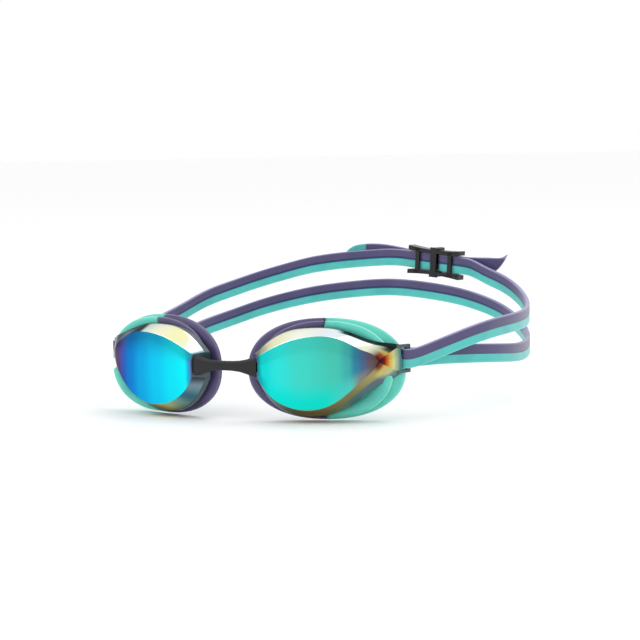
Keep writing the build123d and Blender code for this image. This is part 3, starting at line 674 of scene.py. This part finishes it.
# Outline of the section, front to back and home inside: half width, half height, shift, depth, tilt.
GASKET_SECTION = [
    (22.4, 15.0, -0.8, -0.9, 0.0),
    (25.2, 17.6, 0.6, -0.7, 0.0),
    (26.4, 18.8, 0.7, -1.0, 0.0),
    (26.9, 19.25, 0.7, -1.65, 0.3),
    (26.5, 18.9, 0.7, -2.35, 0.8),
    (25.6, 18.0, 0.7, -2.8, 1.2),
    (25.5, 17.85, 0.6, -3.25, 1.6),
    (26.4, 18.3, 0.4, -3.75, 2.2),
    (28.8, 19.2, 0.2, -4.3, 2.7),
    (30.8, 19.95, 0.0, -4.85, 3.0),
    (31.4, 20.1, 0.0, -5.35, 3.0),
    (31.2, 19.9, 0.0, -5.9, 3.0),
    (30.2, 19.0, 0.0, -6.25, 3.0),
    (28.2, 17.5, 0.0, -6.3, 3.0),
    (26.4, 16.0, 0.0, -6.1, 3.0),
    (25.2, 15.3, 0.0, -5.6, 3.0),
    (23.8, 15.2, -0.8, -4.4, 1.5),
    (22.0, 15.1, -1.2, -3.1, 0.0),
    (21.6, 14.8, -1.2, -2.0, 0.0),
]


# The arm crosses the gasket beyond this place; the skirt is held back from a plane through it.
ARM_FOOT = (22.4, 2.55)
ARM_COVER = 0.9
ARM_FROM = 18.0
HOLD_HALF_HEIGHT = 7.4
HOLD_FADE = 1.6


def gasket_point(half_width, half_height, shift, depth, tilt, angle):
    """Point on one ring of the gasket, kept behind the front of the arm where they cross."""
    c, s = cos(angle), sin(angle)
    x = half_width * copysign(abs(c) ** (2 / OVAL_POWER), c) + shift
    y = half_height * copysign(abs(s) ** (2 / OVAL_POWER), s)
    depth -= x * sin(radians(tilt if x < 0 else 2 * tilt))
    hold = max(0.0, min(1.0, (HOLD_HALF_HEIGHT - abs(y - ARM_MID_HEIGHT)) / HOLD_FADE))
    across, front = ARM_NORMAL
    proud = (x - ARM_FOOT[0]) * across + (depth - ARM_FOOT[1]) * front + ARM_COVER
    if x > ARM_FROM and proud > 0:
        x -= across * proud * hold
        depth -= front * proud * hold
    return cup_point(x, y, depth)


def gasket_half(start, end):
    shell = Shell()
    rows, coords = [], []
    for k in range(GASKET_STEPS + 1):
        angle = start + (end - start) * k / GASKET_STEPS
        rows.append([gasket_point(*ring, angle) for ring in GASKET_SECTION])
        coords.append([(k / GASKET_STEPS, i / len(GASKET_SECTION)) for i in range(len(GASKET_SECTION))])
    shell.grid(rows, coords, 0, ring=True)
    shell.cap(rows[0])
    shell.cap(rows[-1], flip=True)
    return shell


RUBBER_ROUGHNESS = 0.34
# Where round the section a highlight is painted on the ridges (white) and where shade is painted in the
# groove and hollows (white).
RIDGE_HIGHLIGHT = [
    (0.0, BLACK), (0.1, BLACK), (0.14, WHITE), (0.19, BLACK),
    (0.44, BLACK), (0.5, WHITE), (0.56, BLACK), (1.0, BLACK),
]
HOLLOW_SHADE = [
    (0.0, WHITE), (0.06, BLACK), (0.21, BLACK), (0.27, WHITE), (0.34, WHITE),
    (0.41, BLACK), (0.8, BLACK), (0.95, WHITE), (1.0, WHITE),
]


def silicone(name, coat, coat_roughness, glow, glow_depth, grain):
    """Satin silicone without its colour: light glows in it a little, and its skin is finely mottled."""
    finish, tree, shader = new_finish(
        name, RUBBER_ROUGHNESS, coat=coat, coat_roughness=coat_roughness, ior=1.43
    )
    shader.inputs["Subsurface Weight"].default_value = glow
    shader.inputs["Subsurface Radius"].default_value = (0.6, 0.6, 0.7)
    shader.inputs["Subsurface Scale"].default_value = glow_depth * MM
    shader.inputs["Sheen Weight"].default_value = 0.12
    shader.inputs["Sheen Roughness"].default_value = 0.4
    skin = cloud(tree, grain)
    gloss = mild_range(tree, skin, RUBBER_ROUGHNESS * 0.85, RUBBER_ROUGHNESS * 1.25)
    tree.links.new(gloss, shader.inputs["Roughness"])
    add_bump(tree, shader, skin, 0.3, 0.02)
    return finish, tree, shader


def gasket_rubber(name, body, light, deep, groove_shade):
    """Gasket silicone: a painted highlight along its ridges and painted shade in its groove and hollows.
    """
    finish, tree, shader = silicone(name, 0.12, 0.3, 0.12, 1.2, 1500.0)
    section = finish_coords(tree)[1]
    colour = ramp(tree, cloud(tree, 70.0), [(0.32, deep), (0.5, body), (0.72, body)])
    highlight_share = scaled(tree, ramp(tree, section, RIDGE_HIGHLIGHT), 0.45)
    colour = blend_colours(tree, highlight_share, colour, light)
    shade_share = scaled(tree, ramp(tree, section, HOLLOW_SHADE), 0.7)
    colour = blend_colours(tree, shade_share, colour, groove_shade)
    flecks = ramp(tree, cloud(tree, 2600.0, 4.0), [(0.60, BLACK), (0.74, WHITE)])
    flecked = blend_colours(tree, flecks, colour, light)
    tree.links.new(blend_colours(tree, 0.08, colour, flecked), shader.inputs["Base Color"])
    return finish


# For each gasket: body colour, a pale colour for the painted highlight and the flecks, a deeper random
# tone, and the painted shade of the groove.
gasket_purple = gasket_rubber(
    "gasket_purple", tone(76, 68, 108), tone(140, 135, 175), tone(62, 56, 94), tone(38, 40, 82)
)
gasket_mint = gasket_rubber(
    "gasket_mint", tone(92, 204, 186), tone(168, 245, 230), tone(80, 190, 174), tone(52, 158, 146)
)
SEAM = 0.0015
for side, mirrored in (("left", False), ("right", True)):
    for half, start, end, finish in (
        ("nose", pi / 2 + SEAM, 3 * pi / 2 - SEAM, gasket_purple),
        ("temple", -pi / 2 + SEAM, pi / 2 - SEAM, gasket_mint),
    ):
        name = f"gasket_skirt_{side}_{half}"
        skirt = gasket_half(start, end).piece(name, [finish], mirrored, merge=0.0005)
        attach(skirt, "goggle_frame")
        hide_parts(f"gasket_{side}_{half}")

# Nose bridge. A hard black nylon link, narrow in the middle and flared at both ends, where a peg
# behind each flare snaps into a slot in the nose end of the lens. It comes in several lengths.
BRIDGE_HALF_FRONT = 14.2
BRIDGE_HALF_BACK = 11.9
BRIDGE_Y = -12.5
BRIDGE_ARCH = 0.9
BRIDGE_THICKNESS = 3.0
BRIDGE_HEIGHT = 1.4
# Half the height of the link, and how far its middle line is lifted, by share of the half length.
BRIDGE_SHAPE = [
    (0.0, 1.9, 0.4),
    (0.25, 1.95, 0.38),
    (0.5, 2.25, 0.28),
    (0.72, 2.95, 0.12),
    (0.88, 3.7, 0.03),
    (1.0, 4.1, 0.0),
]
BRIDGE_STEPS = 64
BRIDGE_SIDES = 28
BRIDGE_SQUARENESS = (0.55, 0.6)
PEG_X = 12.6
PEG_HALF_WIDTH = 0.8
PEG_HALF_HEIGHT = 2.0
PEG_FRONT, PEG_BACK = -11.4, -7.35


def shape_at(table, share):
    """Straight-line reading of a small table between its rows."""
    for first, second in zip(table, table[1:]):
        if share <= second[0]:
            t = (share - first[0]) / (second[0] - first[0])
            return [a + (b - a) * t for a, b in zip(first[1:], second[1:])]
    return list(table[-1][1:])


bridge_shell = Shell()
rows = []
for k in range(BRIDGE_STEPS + 1):
    share = -1 + 2 * k / BRIDGE_STEPS
    half, lift = shape_at(BRIDGE_SHAPE, abs(share))
    front = BRIDGE_Y - BRIDGE_ARCH * (1 - share**2)
    section = []
    for i in range(BRIDGE_SIDES):
        angle = 2 * pi * i / BRIDGE_SIDES
        c, s = cos(angle), sin(angle)
        back_share = 0.5 + 0.5 * copysign(abs(c) ** BRIDGE_SQUARENESS[0], c)
        y = front + BRIDGE_THICKNESS * back_share
        x = share * (BRIDGE_HALF_FRONT + (BRIDGE_HALF_BACK - BRIDGE_HALF_FRONT) * back_share)
        z = BRIDGE_HEIGHT + lift + half * copysign(abs(s) ** BRIDGE_SQUARENESS[1], s)
        section.append(Vector((x, y, z)))
    rows.append(section)
bridge_shell.plain_ring(rows)
bridge_shell.cap(rows[0], flip=True)
bridge_shell.cap(rows[-1])
for side in (-1, 1):
    corners = [
        (side * PEG_X + across * PEG_HALF_WIDTH, BRIDGE_HEIGHT + up * PEG_HALF_HEIGHT)
        for across, up in ((-1, -1), (1, -1), (1, 1), (-1, 1))
    ]
    near_end, far_end = [[Vector((x, y, z)) for x, z in corners] for y in (PEG_FRONT, PEG_BACK)]
    bridge_shell.plain_ring([near_end, far_end])
    bridge_shell.cap(far_end)
bridge_black = plain_plastic(
    "bridge_black", tone(20, 20, 22), 0.42, 1.4, coat=0.04, grain=1800.0, depth=0.03
)
bridge = bridge_shell.piece("bridge_link", [bridge_black], edge=0.25, edge_angle=40)
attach(bridge, "bridge")
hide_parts("nose_bridge")

# Strap. Two silicones, purple over mint, are moulded side by side into one flat band with a small
# step on its inner face. The band is slit: it goes round each post and both halves run to the back.
BAND_HALF = 3.8
BAND_SPLIT = -0.304
BAND_THICKNESS = 1.8
MINT_STEP = 0.22
POST = Vector((65.672, 17.4051, 3.8))
LOOP_RADIUS = 2.2
UP = Vector((0, 0, 1))
# Stations seen from above: x, y, height of the strand, or of the upper and of the lower one.
LEFT_UPPER_START = (85.9, 41.0, 12.1)
LEFT_LOWER_START = (84.4, 42.5, 3.8)
LEFT_RING = [
    (89.4, 57.0, 13.7, 2.7),
    (89.8, 72.5, 14.1, 1.5),
    (87.7, 87.0, 14.4, 1.2),
    (83.7, 101.0, 15.5, 2.2),
    (77.9, 113.0, 17.8, 4.6),
    (69.8, 123.8, 21.3, 8.1),
    (59.8, 132.0, 25.1, 12.0),
    (48.8, 137.6, 28.5, 15.2),
]
RIGHT_UPPER_START = [
    (-78.3, 41.5, 4.2),
    (-83.0, 57.0, 5.0),
    (-84.8, 72.5, 6.6),
    (-84.2, 87.0, 9.2),
    (-81.4, 101.0, 13.1),
]
RIGHT_LOWER_START = [
    (-75.2, 42.5, 3.0),
    (-79.8, 57.5, 0.8),
    (-81.5, 72.5, -0.6),
    (-81.6, 87.0, 0.2),
    (-80.2, 101.0, 2.0),
]
RIGHT_RING = [
    (-76.9, 113.0, 17.6, 4.7),
    (-69.6, 123.8, 21.3, 8.1),
    (-59.8, 132.0, 25.1, 12.0),
    (-48.8, 137.6, 28.5, 15.2),
]
RIGHT_UPPER_REAR = [
    (-37.9, 141.3, 31.3),
    (-27.5, 143.5, 32.9),
    (-17.9, 145.2, 33.9),
    (-8.6, 146.2, 34.6),
    (-0.5, 146.6, 35.0),
]
LOWER_REAR = [
    (37.9, 141.3, 17.6),
    (18.0, 145.0, 20.3),
    (0.0, 146.4, 21.4),
    (-18.0, 145.0, 20.3),
    (-37.9, 141.3, 17.6),
]
LEFT_EXIT_ANGLE = 42.0
RIGHT_EXIT_ANGLE = 26.0
LEFT_RISE = 0.24
RIGHT_RISE = 0.02
EXIT_LEAD = 8.5
STRAP_LEG = 3.2
LOWER_START = 3.0
BUCKLE = Vector((23.2, 143.7, 33.1))
BUCKLE_YAW = radians(-11.5)
BUCKLE_TILT = radians(5.2)
BUCKLE_WAY = Vector((
    cos(BUCKLE_YAW) * cos(BUCKLE_TILT),
    sin(BUCKLE_YAW) * cos(BUCKLE_TILT),
    -sin(BUCKLE_TILT),
))
BUCKLE_OUT = UP.cross(BUCKLE_WAY).normalized()
BUCKLE_UP = BUCKLE_WAY.cross(BUCKLE_OUT).normalized()
FOLD_RADIUS = 1.65
FOLD_POST = 3.4
STUB_END = 15.8
STRAIGHT_STEP = 1.4
LEG_STEP = 0.8


def at_buckle(along, out, up=0.0):
    return BUCKLE + BUCKLE_WAY * along + BUCKLE_OUT * out + BUCKLE_UP * up


def flipped(point):
    return Vector((-point.x, point.y, point.z))


def arc(centre, first, way, turn, steps):
    """Points on a part circle from centre + first, turning toward way."""
    angles = [turn * k / steps for k in range(steps + 1)]
    return [centre + first * cos(angle) + way * sin(angle) for angle in angles]


def straight(first, second, step=STRAIGHT_STEP):
    count = max(2, round((second - first).length / step))
    return [first.lerp(second, k / count) for k in range(count + 1)]


def join_runs(*runs):
    line = list(runs[0])
    for run in runs[1:]:
        line.extend(run if (run[0] - line[-1]).length > 0.05 else run[1:])
    return line


def exit_axes(angle, side):
    """Directions in which the strap leaves a post, and outward across it; side is +1 or -1."""
    turn = radians(angle)
    return Vector((side * sin(turn), cos(turn), 0)), Vector((side * cos(turn), -sin(turn), 0))


left_way, left_across = exit_axes(LEFT_EXIT_ANGLE, 1)
right_way, right_across = exit_axes(RIGHT_EXIT_ANGLE, -1)
RIGHT_POST = flipped(POST)


def strand_start(post, way, across, outside, rise):
    first = post + across * (outside * LOOP_RADIUS)
    return [first, first + way * EXIT_LEAD + UP * (EXIT_LEAD * rise)]


def upper_run(side):
    """Upper half of the strap on one side: leg, turn round the post, run to the buckle and fold."""
    post, way, across = POST, left_way, left_across
    if side < 0:
        post, way, across = RIGHT_POST, right_way, right_across
    inner_start = post - across * LOOP_RADIUS
    leg = straight(inner_start + way * STRAP_LEG, inner_start, LEG_STEP)
    turn = arc(post, -across * LOOP_RADIUS, -way * LOOP_RADIUS, pi, 14)
    if side > 0:
        knots = strand_start(post, way, across, 1, LEFT_RISE) + [Vector(LEFT_UPPER_START)]
        knots += [Vector((x, y, upper)) for x, y, upper, low in LEFT_RING] + [at_buckle(STUB_END, 0)]
        run = smooth_line(knots, 130, start=way + UP * LEFT_RISE * 0.4, end=-BUCKLE_WAY)
    else:
        knots = strand_start(post, way, across, 1, RIGHT_RISE) + [Vector(p) for p in RIGHT_UPPER_START]
        knots += [Vector((x, y, upper)) for x, y, upper, low in RIGHT_RING]
        knots += [Vector(p) for p in RIGHT_UPPER_REAR] + [at_buckle(-STUB_END, 0)]
        run = smooth_line(knots, 160, start=way, end=BUCKLE_WAY)
    fold_middle = at_buckle(side * FOLD_POST, FOLD_RADIUS)
    fold = arc(fold_middle, -BUCKLE_OUT * FOLD_RADIUS, -BUCKLE_WAY * side * FOLD_RADIUS, pi, 12)
    inner = straight(at_buckle(side * STUB_END, 0), fold[0])
    outer = straight(fold[-1], at_buckle(side * STUB_END, 2 * FOLD_RADIUS))
    return join_runs(leg, turn, run, inner, fold, outer)


def lower_run():
    """Lower half of the strap, all the way round from one post to the other."""
    knots = strand_start(POST, left_way, left_across, -1, RIGHT_RISE) + [Vector(LEFT_LOWER_START)]
    knots[0] += left_way * LOWER_START
    knots += [Vector((x, y, low)) for x, y, upper, low in LEFT_RING]
    knots += [Vector(p) for p in LOWER_REAR]
    far = strand_start(RIGHT_POST, right_way, right_across, -1, -RIGHT_RISE)
    far[0] += right_way * LOWER_START
    far += [Vector(p) for p in RIGHT_LOWER_START]
    far += [Vector((x, y, low)) for x, y, upper, low in RIGHT_RING]
    return smooth_line(knots + far[::-1], 260, start=left_way, end=-right_way)


def corner_arc(across, height, radius, first, steps=4):
    """Quarter circle, run clockwise from the angle first."""
    angles = [first - pi / 2 * k / steps for k in range(steps + 1)]
    return [(across + radius * cos(angle), height + radius * sin(angle)) for angle in angles]


def band_section(low, high, low_round, high_round, inner, outer):
    """Closed outline of the band, clockwise from the upper inner corner: across is positive outside."""
    outline = corner_arc(-inner + high_round, high - high_round, high_round, pi)
    outline += corner_arc(outer - high_round, high - high_round, high_round, pi / 2)
    outline += corner_arc(outer - low_round, low + low_round, low_round, 0)
    outline += corner_arc(-inner + low_round, low + low_round, low_round, -pi / 2)
    return outline


def sweep(line, section, outside, squeeze=None):
    """Band along a line, kept upright; outside is +1 where the ring's outside is on the line's right."""
    shell = Shell()
    rows, coords = [], []
    for k, point in enumerate(line):
        before, after = line[max(k - 1, 0)], line[min(k + 1, len(line) - 1)]
        way = (after - before).normalized()
        side = way.cross(UP).normalized() * outside
        shape = squeeze(k / (len(line) - 1), section) if squeeze else section
        rows.append([point + side * across + UP * height for across, height in shape])
        coords.append([(1.0 if across > 0 else 0.0, height * MM) for across, height in shape])
    shell.grid(rows, coords, 0, ring=True)
    shell.cap(rows[0])
    shell.cap(rows[-1])
    return shell


def strap_rubber(name, inside, outside):
    """Strap silicone: a painted highlight along its free edge, and painted shadow where it meets the
    other colour inside.
    """
    finish, tree, shader = silicone(name, 0.1, 0.35, 0.1, 1.0, 1700.0)
    u, v = finish_coords(tree)
    height = mild_range(tree, v, 0.0, 1.0, -BAND_HALF * MM, BAND_HALF * MM)
    colour = blend_colours(tree, u, ramp(tree, height, inside), ramp(tree, height, outside))
    shade = ramp(tree, cloud(tree, 90.0), [(0.3, (0.86, 0.86, 0.88, 1.0)), (0.65, WHITE)])
    mixed = blend_colours(tree, 1.0, colour, shade, "MULTIPLY")
    tree.links.new(mixed, shader.inputs["Base Color"])
    return finish


SPLIT_SHARE = (BAND_SPLIT + BAND_HALF) / (2 * BAND_HALF)
# Band colours, with a painted highlight along each free edge, and a painted shadow line and painted shade
# on the inner face where the purple steps out over the mint.
PURPLE = tone(80, 74, 114)
PURPLE_HIGHLIGHT = tone(146, 140, 184)
SEAM_SHADOW = tone(34, 52, 100)
MINT = tone(84, 194, 188)
MINT_HIGHLIGHT = tone(122, 216, 208)
MINT_SHADE = tone(64, 168, 172)
FREE_EDGE_HIGHLIGHT = [(0.9, PURPLE), (1.0, PURPLE_HIGHLIGHT)]
strap_purple = strap_rubber(
    "strap_purple",
    [(0.0, SEAM_SHADOW), (SPLIT_SHARE + 0.08, SEAM_SHADOW), (SPLIT_SHARE + 0.15, PURPLE), *FREE_EDGE_HIGHLIGHT],
    [(0.0, PURPLE), (SPLIT_SHARE, PURPLE), *FREE_EDGE_HIGHLIGHT],
)
strap_purple_plain = strap_rubber(
    "strap_purple_plain", [(0.0, PURPLE), *FREE_EDGE_HIGHLIGHT], [(0.0, PURPLE), *FREE_EDGE_HIGHLIGHT]
)
strap_mint = strap_rubber(
    "strap_mint",
    [(0.0, MINT_HIGHLIGHT), (0.1, MINT), (SPLIT_SHARE - 0.06, MINT), (SPLIT_SHARE, MINT_SHADE)],
    [(0.0, MINT_HIGHLIGHT), (0.1, MINT), (SPLIT_SHARE, MINT)],
)
HALF_THICKNESS = BAND_THICKNESS / 2
MINT_OUTER_STEP = 0.03
MINT_OVERLAP = 0.02
purple_section = band_section(BAND_SPLIT, BAND_HALF, 0.3, 0.5, HALF_THICKNESS, HALF_THICKNESS)
mint_section = band_section(
    -BAND_HALF,
    BAND_SPLIT + MINT_OVERLAP,
    0.45,
    0.06,
    HALF_THICKNESS - MINT_STEP,
    HALF_THICKNESS - MINT_OUTER_STEP,
)
for strand, line, outside, body in (
    ("upper_left", upper_run(1), 1, "upper_strand"),
    ("upper_right", upper_run(-1), -1, "upper_strand"),
    ("lower", lower_run(), 1, "lower_strand"),
):
    for colour, section, finish in (
        ("purple", purple_section, strap_purple),
        ("mint", mint_section, strap_mint),
    ):
        name = f"strap_{strand}_{colour}"
        band = sweep(line, section, outside).piece(name, [finish], merge=0.0005)
        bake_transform(band)
        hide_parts(f"{strand}_{colour}")
        if strand != "lower":
            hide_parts(f"strap_turn_{strand[6:]}_{colour}")

# Free tails. Beyond the buckle each end of the strap runs on loose outside the ring. One is cut on
# the slant and curls up to a point; the other ends in a rounded mint tip.
TAIL_OUT = 2 * FOLD_RADIUS
TAIL_REACH = 18.5
TAIL_DRIFT_OUT = 2.4
TAIL_DRIFT_UP = 1.6
TAIL_THINS_FROM = 9.0
# How far each tail starts inside the stub, how far it goes past its last station, and the step between
# its rings.
TAIL_ROOT = 0.2
TAIL_PAST = 0.6
TAIL_STEP = 0.5
TAIL_TOP = [(0, BAND_HALF), (5, BAND_HALF), (10, 3.8), (13.5, 3.7), (15.9, 3.95), (TAIL_REACH, 5.3)]
TAIL_LOW = [(0, -BAND_HALF), (5, -BAND_HALF), (10, -3.7), (13.2, -1.9), (15.7, 0.6), (TAIL_REACH, 5.0)]
tail_section = band_section(-BAND_HALF, BAND_HALF, 0.45, 0.5, HALF_THICKNESS, HALF_THICKNESS)
tail_top = smooth_line([Vector((x, y, 0)) for x, y in TAIL_TOP], 200)
tail_low = smooth_line([Vector((x, y, 0)) for x, y in TAIL_LOW], 200)


def height_on(line, x):
    return min(line, key=lambda p: abs(p.x - x)).y


def fitted(section, low, top, thin):
    """Band outline squeezed between two heights and made thinner."""
    tall = (top - low) / (2 * BAND_HALF)
    return [(across * thin, low + (height + BAND_HALF) * tall) for across, height in section]


def cut_tail(share, section):
    """The slant cut: the lower edge runs up to meet the upper one in a point."""
    reach = share * TAIL_REACH
    past = max(0.0, (reach - TAIL_THINS_FROM) / (TAIL_REACH - TAIL_THINS_FROM))
    return fitted(section, height_on(tail_low, reach), height_on(tail_top, reach), 1.0 - 0.5 * past**2)


tail_way = BUCKLE_WAY * TAIL_REACH + BUCKLE_OUT * TAIL_DRIFT_OUT + BUCKLE_UP * TAIL_DRIFT_UP
tail_start = at_buckle(STUB_END - TAIL_ROOT, TAIL_OUT)
tail_end = tail_start + tail_way.normalized() * (TAIL_REACH + TAIL_PAST)
slant_shell = sweep(straight(tail_start, tail_end, TAIL_STEP), tail_section, -1, cut_tail)
slant_tail = slant_shell.piece("tail_slant_cut", [strap_purple_plain], merge=0.0005)
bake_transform(slant_tail)
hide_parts("tail_left")

ROUND_TAIL = [(-3.0, 150.15, 36.6), (-13.5, 149.7, 37.0), (-24.0, 147.7, 35.4)]
ROUND_STEPS = 60
TIP_JOINT_X = ROUND_TAIL[1][0]
TIP_ROUNDS_FROM = 0.35
round_knots = [at_buckle(-STUB_END + TAIL_ROOT, TAIL_OUT)] + [Vector(p) for p in ROUND_TAIL]
round_line = smooth_line(round_knots, ROUND_STEPS)
join_index = min(range(ROUND_STEPS), key=lambda i: abs(round_line[i].x - TIP_JOINT_X))


def rounded_tip(share, section):
    """Height falls away to a rounded end over the last part of the tip."""
    past = max(0.0, (share - TIP_ROUNDS_FROM) / (1 - TIP_ROUNDS_FROM))
    top = BAND_HALF - 2.6 * past**2 - 1.0 * past**6
    low = -BAND_HALF + 2.2 * past**5
    return fitted(section, low, top, 1 - 0.35 * past**4)


for part, line, squeeze, finish, slot, node in (
    ("tail_round", round_line[: join_index + 1], None, strap_purple_plain, "strap_purple", "tail_right"),
    ("tail_round_tip", round_line[join_index:], rounded_tip, strap_mint, "strap_mint", "tail_right_tip"),
):
    tail = sweep(line, tail_section, -1, squeeze).piece(part, [finish], merge=0.0005)
    if node == "tail_right":
        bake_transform(tail)
    else:
        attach(tail, "tail_right")
    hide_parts(node)

# Adjuster buckle. One gloss black moulding: two rails, three bars on the head side, and a stouter
# keeper in the middle that stands out past the rails, with the band ends folded back either side of it.
RAIL_HALF_LENGTH = 13.8
RAIL_STEPS = 24
RAIL_OUTER, RAIL_OUTER_SPREAD = 5.6, 0.8
RAIL_INNER, RAIL_INNER_SPREAD = 4.1, 0.35
RAIL_SPREADS_FROM = 9.0
HEAD_SIDE = -2.1
BAR_FRONT = -1.0
RAIL_OUTSIDE = 2.5
KEEPER_OUTSIDE = 4.3
BAR_PLACE = 8.7
BAR_SIZE = (2.0, 11.0)
KEEPER_SIZE = (3.0, 13.2)
KEEPER_PROUD = 0.05
# Half a bar's outline at its upper end: how far it widens, and how far down from the end.
BAR_FOOT = [(0.0, 2.2), (0.1, 1.2), (0.6, 0.0)]
KEEPER_END = [(-1.5, 4.1), (-1.5, 6.3), (-1.0, 6.6), (1.0, 6.6), (1.5, 6.3), (1.5, 4.1)]
buckle_shell = Shell()


def buckle_block(outline, out_low, out_high):
    """Solid between two depths over an outline given along and up the buckle."""
    near = [at_buckle(a, out_low, u) for a, u in outline]
    far = [at_buckle(a, out_high, u) for a, u in outline]
    buckle_shell.plain_ring([near, far])
    buckle_shell.cap(near)
    buckle_shell.cap(far)


def bar(along, width, height):
    """Outline of an upright bar, widened a little where it runs into the rails."""
    foot = [(width / 2 + wide, height / 2 - down) for wide, down in BAR_FOOT]
    left = [(along - a, u) for a, u in foot[::-1]] + [(along - a, -u) for a, u in foot]
    return left + [(2 * along - a, -u) for a, u in left]


def plate(half_width, half_height):
    w, h = half_width, half_height
    return [(-w, -h), (-w, h), (w, h), (w, -h)]


for sign in (-1, 1):
    stations = [RAIL_HALF_LENGTH * (2 * k / RAIL_STEPS - 1) for k in range(RAIL_STEPS + 1)]
    rail = [(a, sign * (RAIL_OUTER + RAIL_OUTER_SPREAD * (a / RAIL_HALF_LENGTH) ** 2)) for a in stations]
    for a in reversed(stations):
        past = max(0.0, (abs(a) - RAIL_SPREADS_FROM) / (RAIL_HALF_LENGTH - RAIL_SPREADS_FROM))
        rail.append((a, sign * (RAIL_INNER + RAIL_INNER_SPREAD * past**2)))
    buckle_block(rail, HEAD_SIDE, RAIL_OUTSIDE)
for along in (-BAR_PLACE, BAR_PLACE):
    buckle_block(bar(along, *BAR_SIZE), HEAD_SIDE, BAR_FRONT)
buckle_block(bar(0, *KEEPER_SIZE), HEAD_SIDE - KEEPER_PROUD, BAR_FRONT)
for sign in (-1, 1):
    buckle_block([(a, sign * u) for a, u in KEEPER_END], HEAD_SIDE, KEEPER_OUTSIDE)
# Web inside the keeper, between the two folds of the band, and a thin plate over its outside.
buckle_block(plate(0.7, 4.2), -1.05, RAIL_OUTSIDE)
buckle_block(plate(0.8, 6.4), KEEPER_OUTSIDE, KEEPER_OUTSIDE + 0.02)
buckle_gloss = plain_plastic(
    "buckle_black", tone(12, 12, 14), 0.26, 1.4, coat=0.12, grain=1500.0, depth=0.015
)
buckle = buckle_shell.piece("buckle_body", [buckle_gloss], edge=0.3, edge_angle=40)
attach(buckle, "upper_strand")
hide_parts("adjuster_buckle")

# Studio: a plain pale floor, soft light all round and two large soft boxes, and the camera.
FLOOR_RADIUS = 6.0
FLOOR_HEIGHT = -0.0206
floor_mesh = bpy.data.meshes.new("floor")
floor_build = bmesh.new()
bmesh.ops.create_circle(floor_build, cap_ends=True, segments=96, radius=FLOOR_RADIUS)
floor_build.to_mesh(floor_mesh)
floor_build.free()
floor = bpy.data.objects.new("floor", floor_mesh)
floor.location = (0, 0.06, FLOOR_HEIGHT)
bpy.context.scene.collection.objects.link(floor)
floor_finish, _, floor_shader = new_finish("floor_white", 0.6)
floor_shader.inputs["Base Color"].default_value = (0.97, 0.97, 0.97, 1)
floor_mesh.materials.append(floor_finish)

world = bpy.data.worlds.new("studio")
world.use_nodes = True
world.node_tree.nodes["Background"].inputs["Color"].default_value = (1, 1, 1, 1)
world.node_tree.nodes["Background"].inputs["Strength"].default_value = 1.0
bpy.context.scene.world = world


def soft_box(name, place, aim, size, power):
    light = bpy.data.lights.new(name, "AREA")
    light.shape = "RECTANGLE"
    light.size, light.size_y = size
    light.energy = power
    lamp = bpy.data.objects.new(name, light)
    lamp.location = place
    lamp.rotation_euler = (Vector(aim) - Vector(place)).to_track_quat("-Z", "Y").to_euler()
    bpy.context.scene.collection.objects.link(lamp)


soft_box("key_box", (-0.7, -0.8, 1.1), (0, 0.05, 0), (0.9, 0.7), 3.5)
soft_box("top_box", (0.3, 0.3, 1.2), (0, 0.08, 0), (1.0, 0.8), 2.5)
bpy.context.scene.view_settings.view_transform = "Standard"

CAMERA_TURN = radians(26.4115)
CAMERA_HEIGHT = radians(4.9074)
CAMERA_ROLL = radians(1.04)
CAMERA_DISTANCE = 0.95
# The camera stands a little to the right of the line to the origin, and a little above it.
CAMERA_ASIDE = 0.032137
CAMERA_LIFT = 0.018761
CAMERA_LENS = 133.875
level_ahead = Vector((-sin(CAMERA_TURN), cos(CAMERA_TURN), 0))
right = Vector((cos(CAMERA_TURN), sin(CAMERA_TURN), 0))
up = level_ahead * sin(CAMERA_HEIGHT) + UP * cos(CAMERA_HEIGHT)
ahead = level_ahead * cos(CAMERA_HEIGHT) - UP * sin(CAMERA_HEIGHT)
rolled_right = right * cos(CAMERA_ROLL) - up * sin(CAMERA_ROLL)
rolled_up = right * sin(CAMERA_ROLL) + up * cos(CAMERA_ROLL)
place = rolled_right * CAMERA_ASIDE + rolled_up * CAMERA_LIFT - ahead * CAMERA_DISTANCE
camera_data = bpy.data.cameras.new("camera")
camera_data.sensor_width = 36.0
camera_data.lens = CAMERA_LENS
camera = bpy.data.objects.new("camera", camera_data)
axes = Matrix((rolled_right, rolled_up, -ahead)).transposed().to_4x4()
camera.matrix_world = Matrix.Translation(place) @ axes
bpy.context.scene.collection.objects.link(camera)
bpy.context.scene.camera = camera
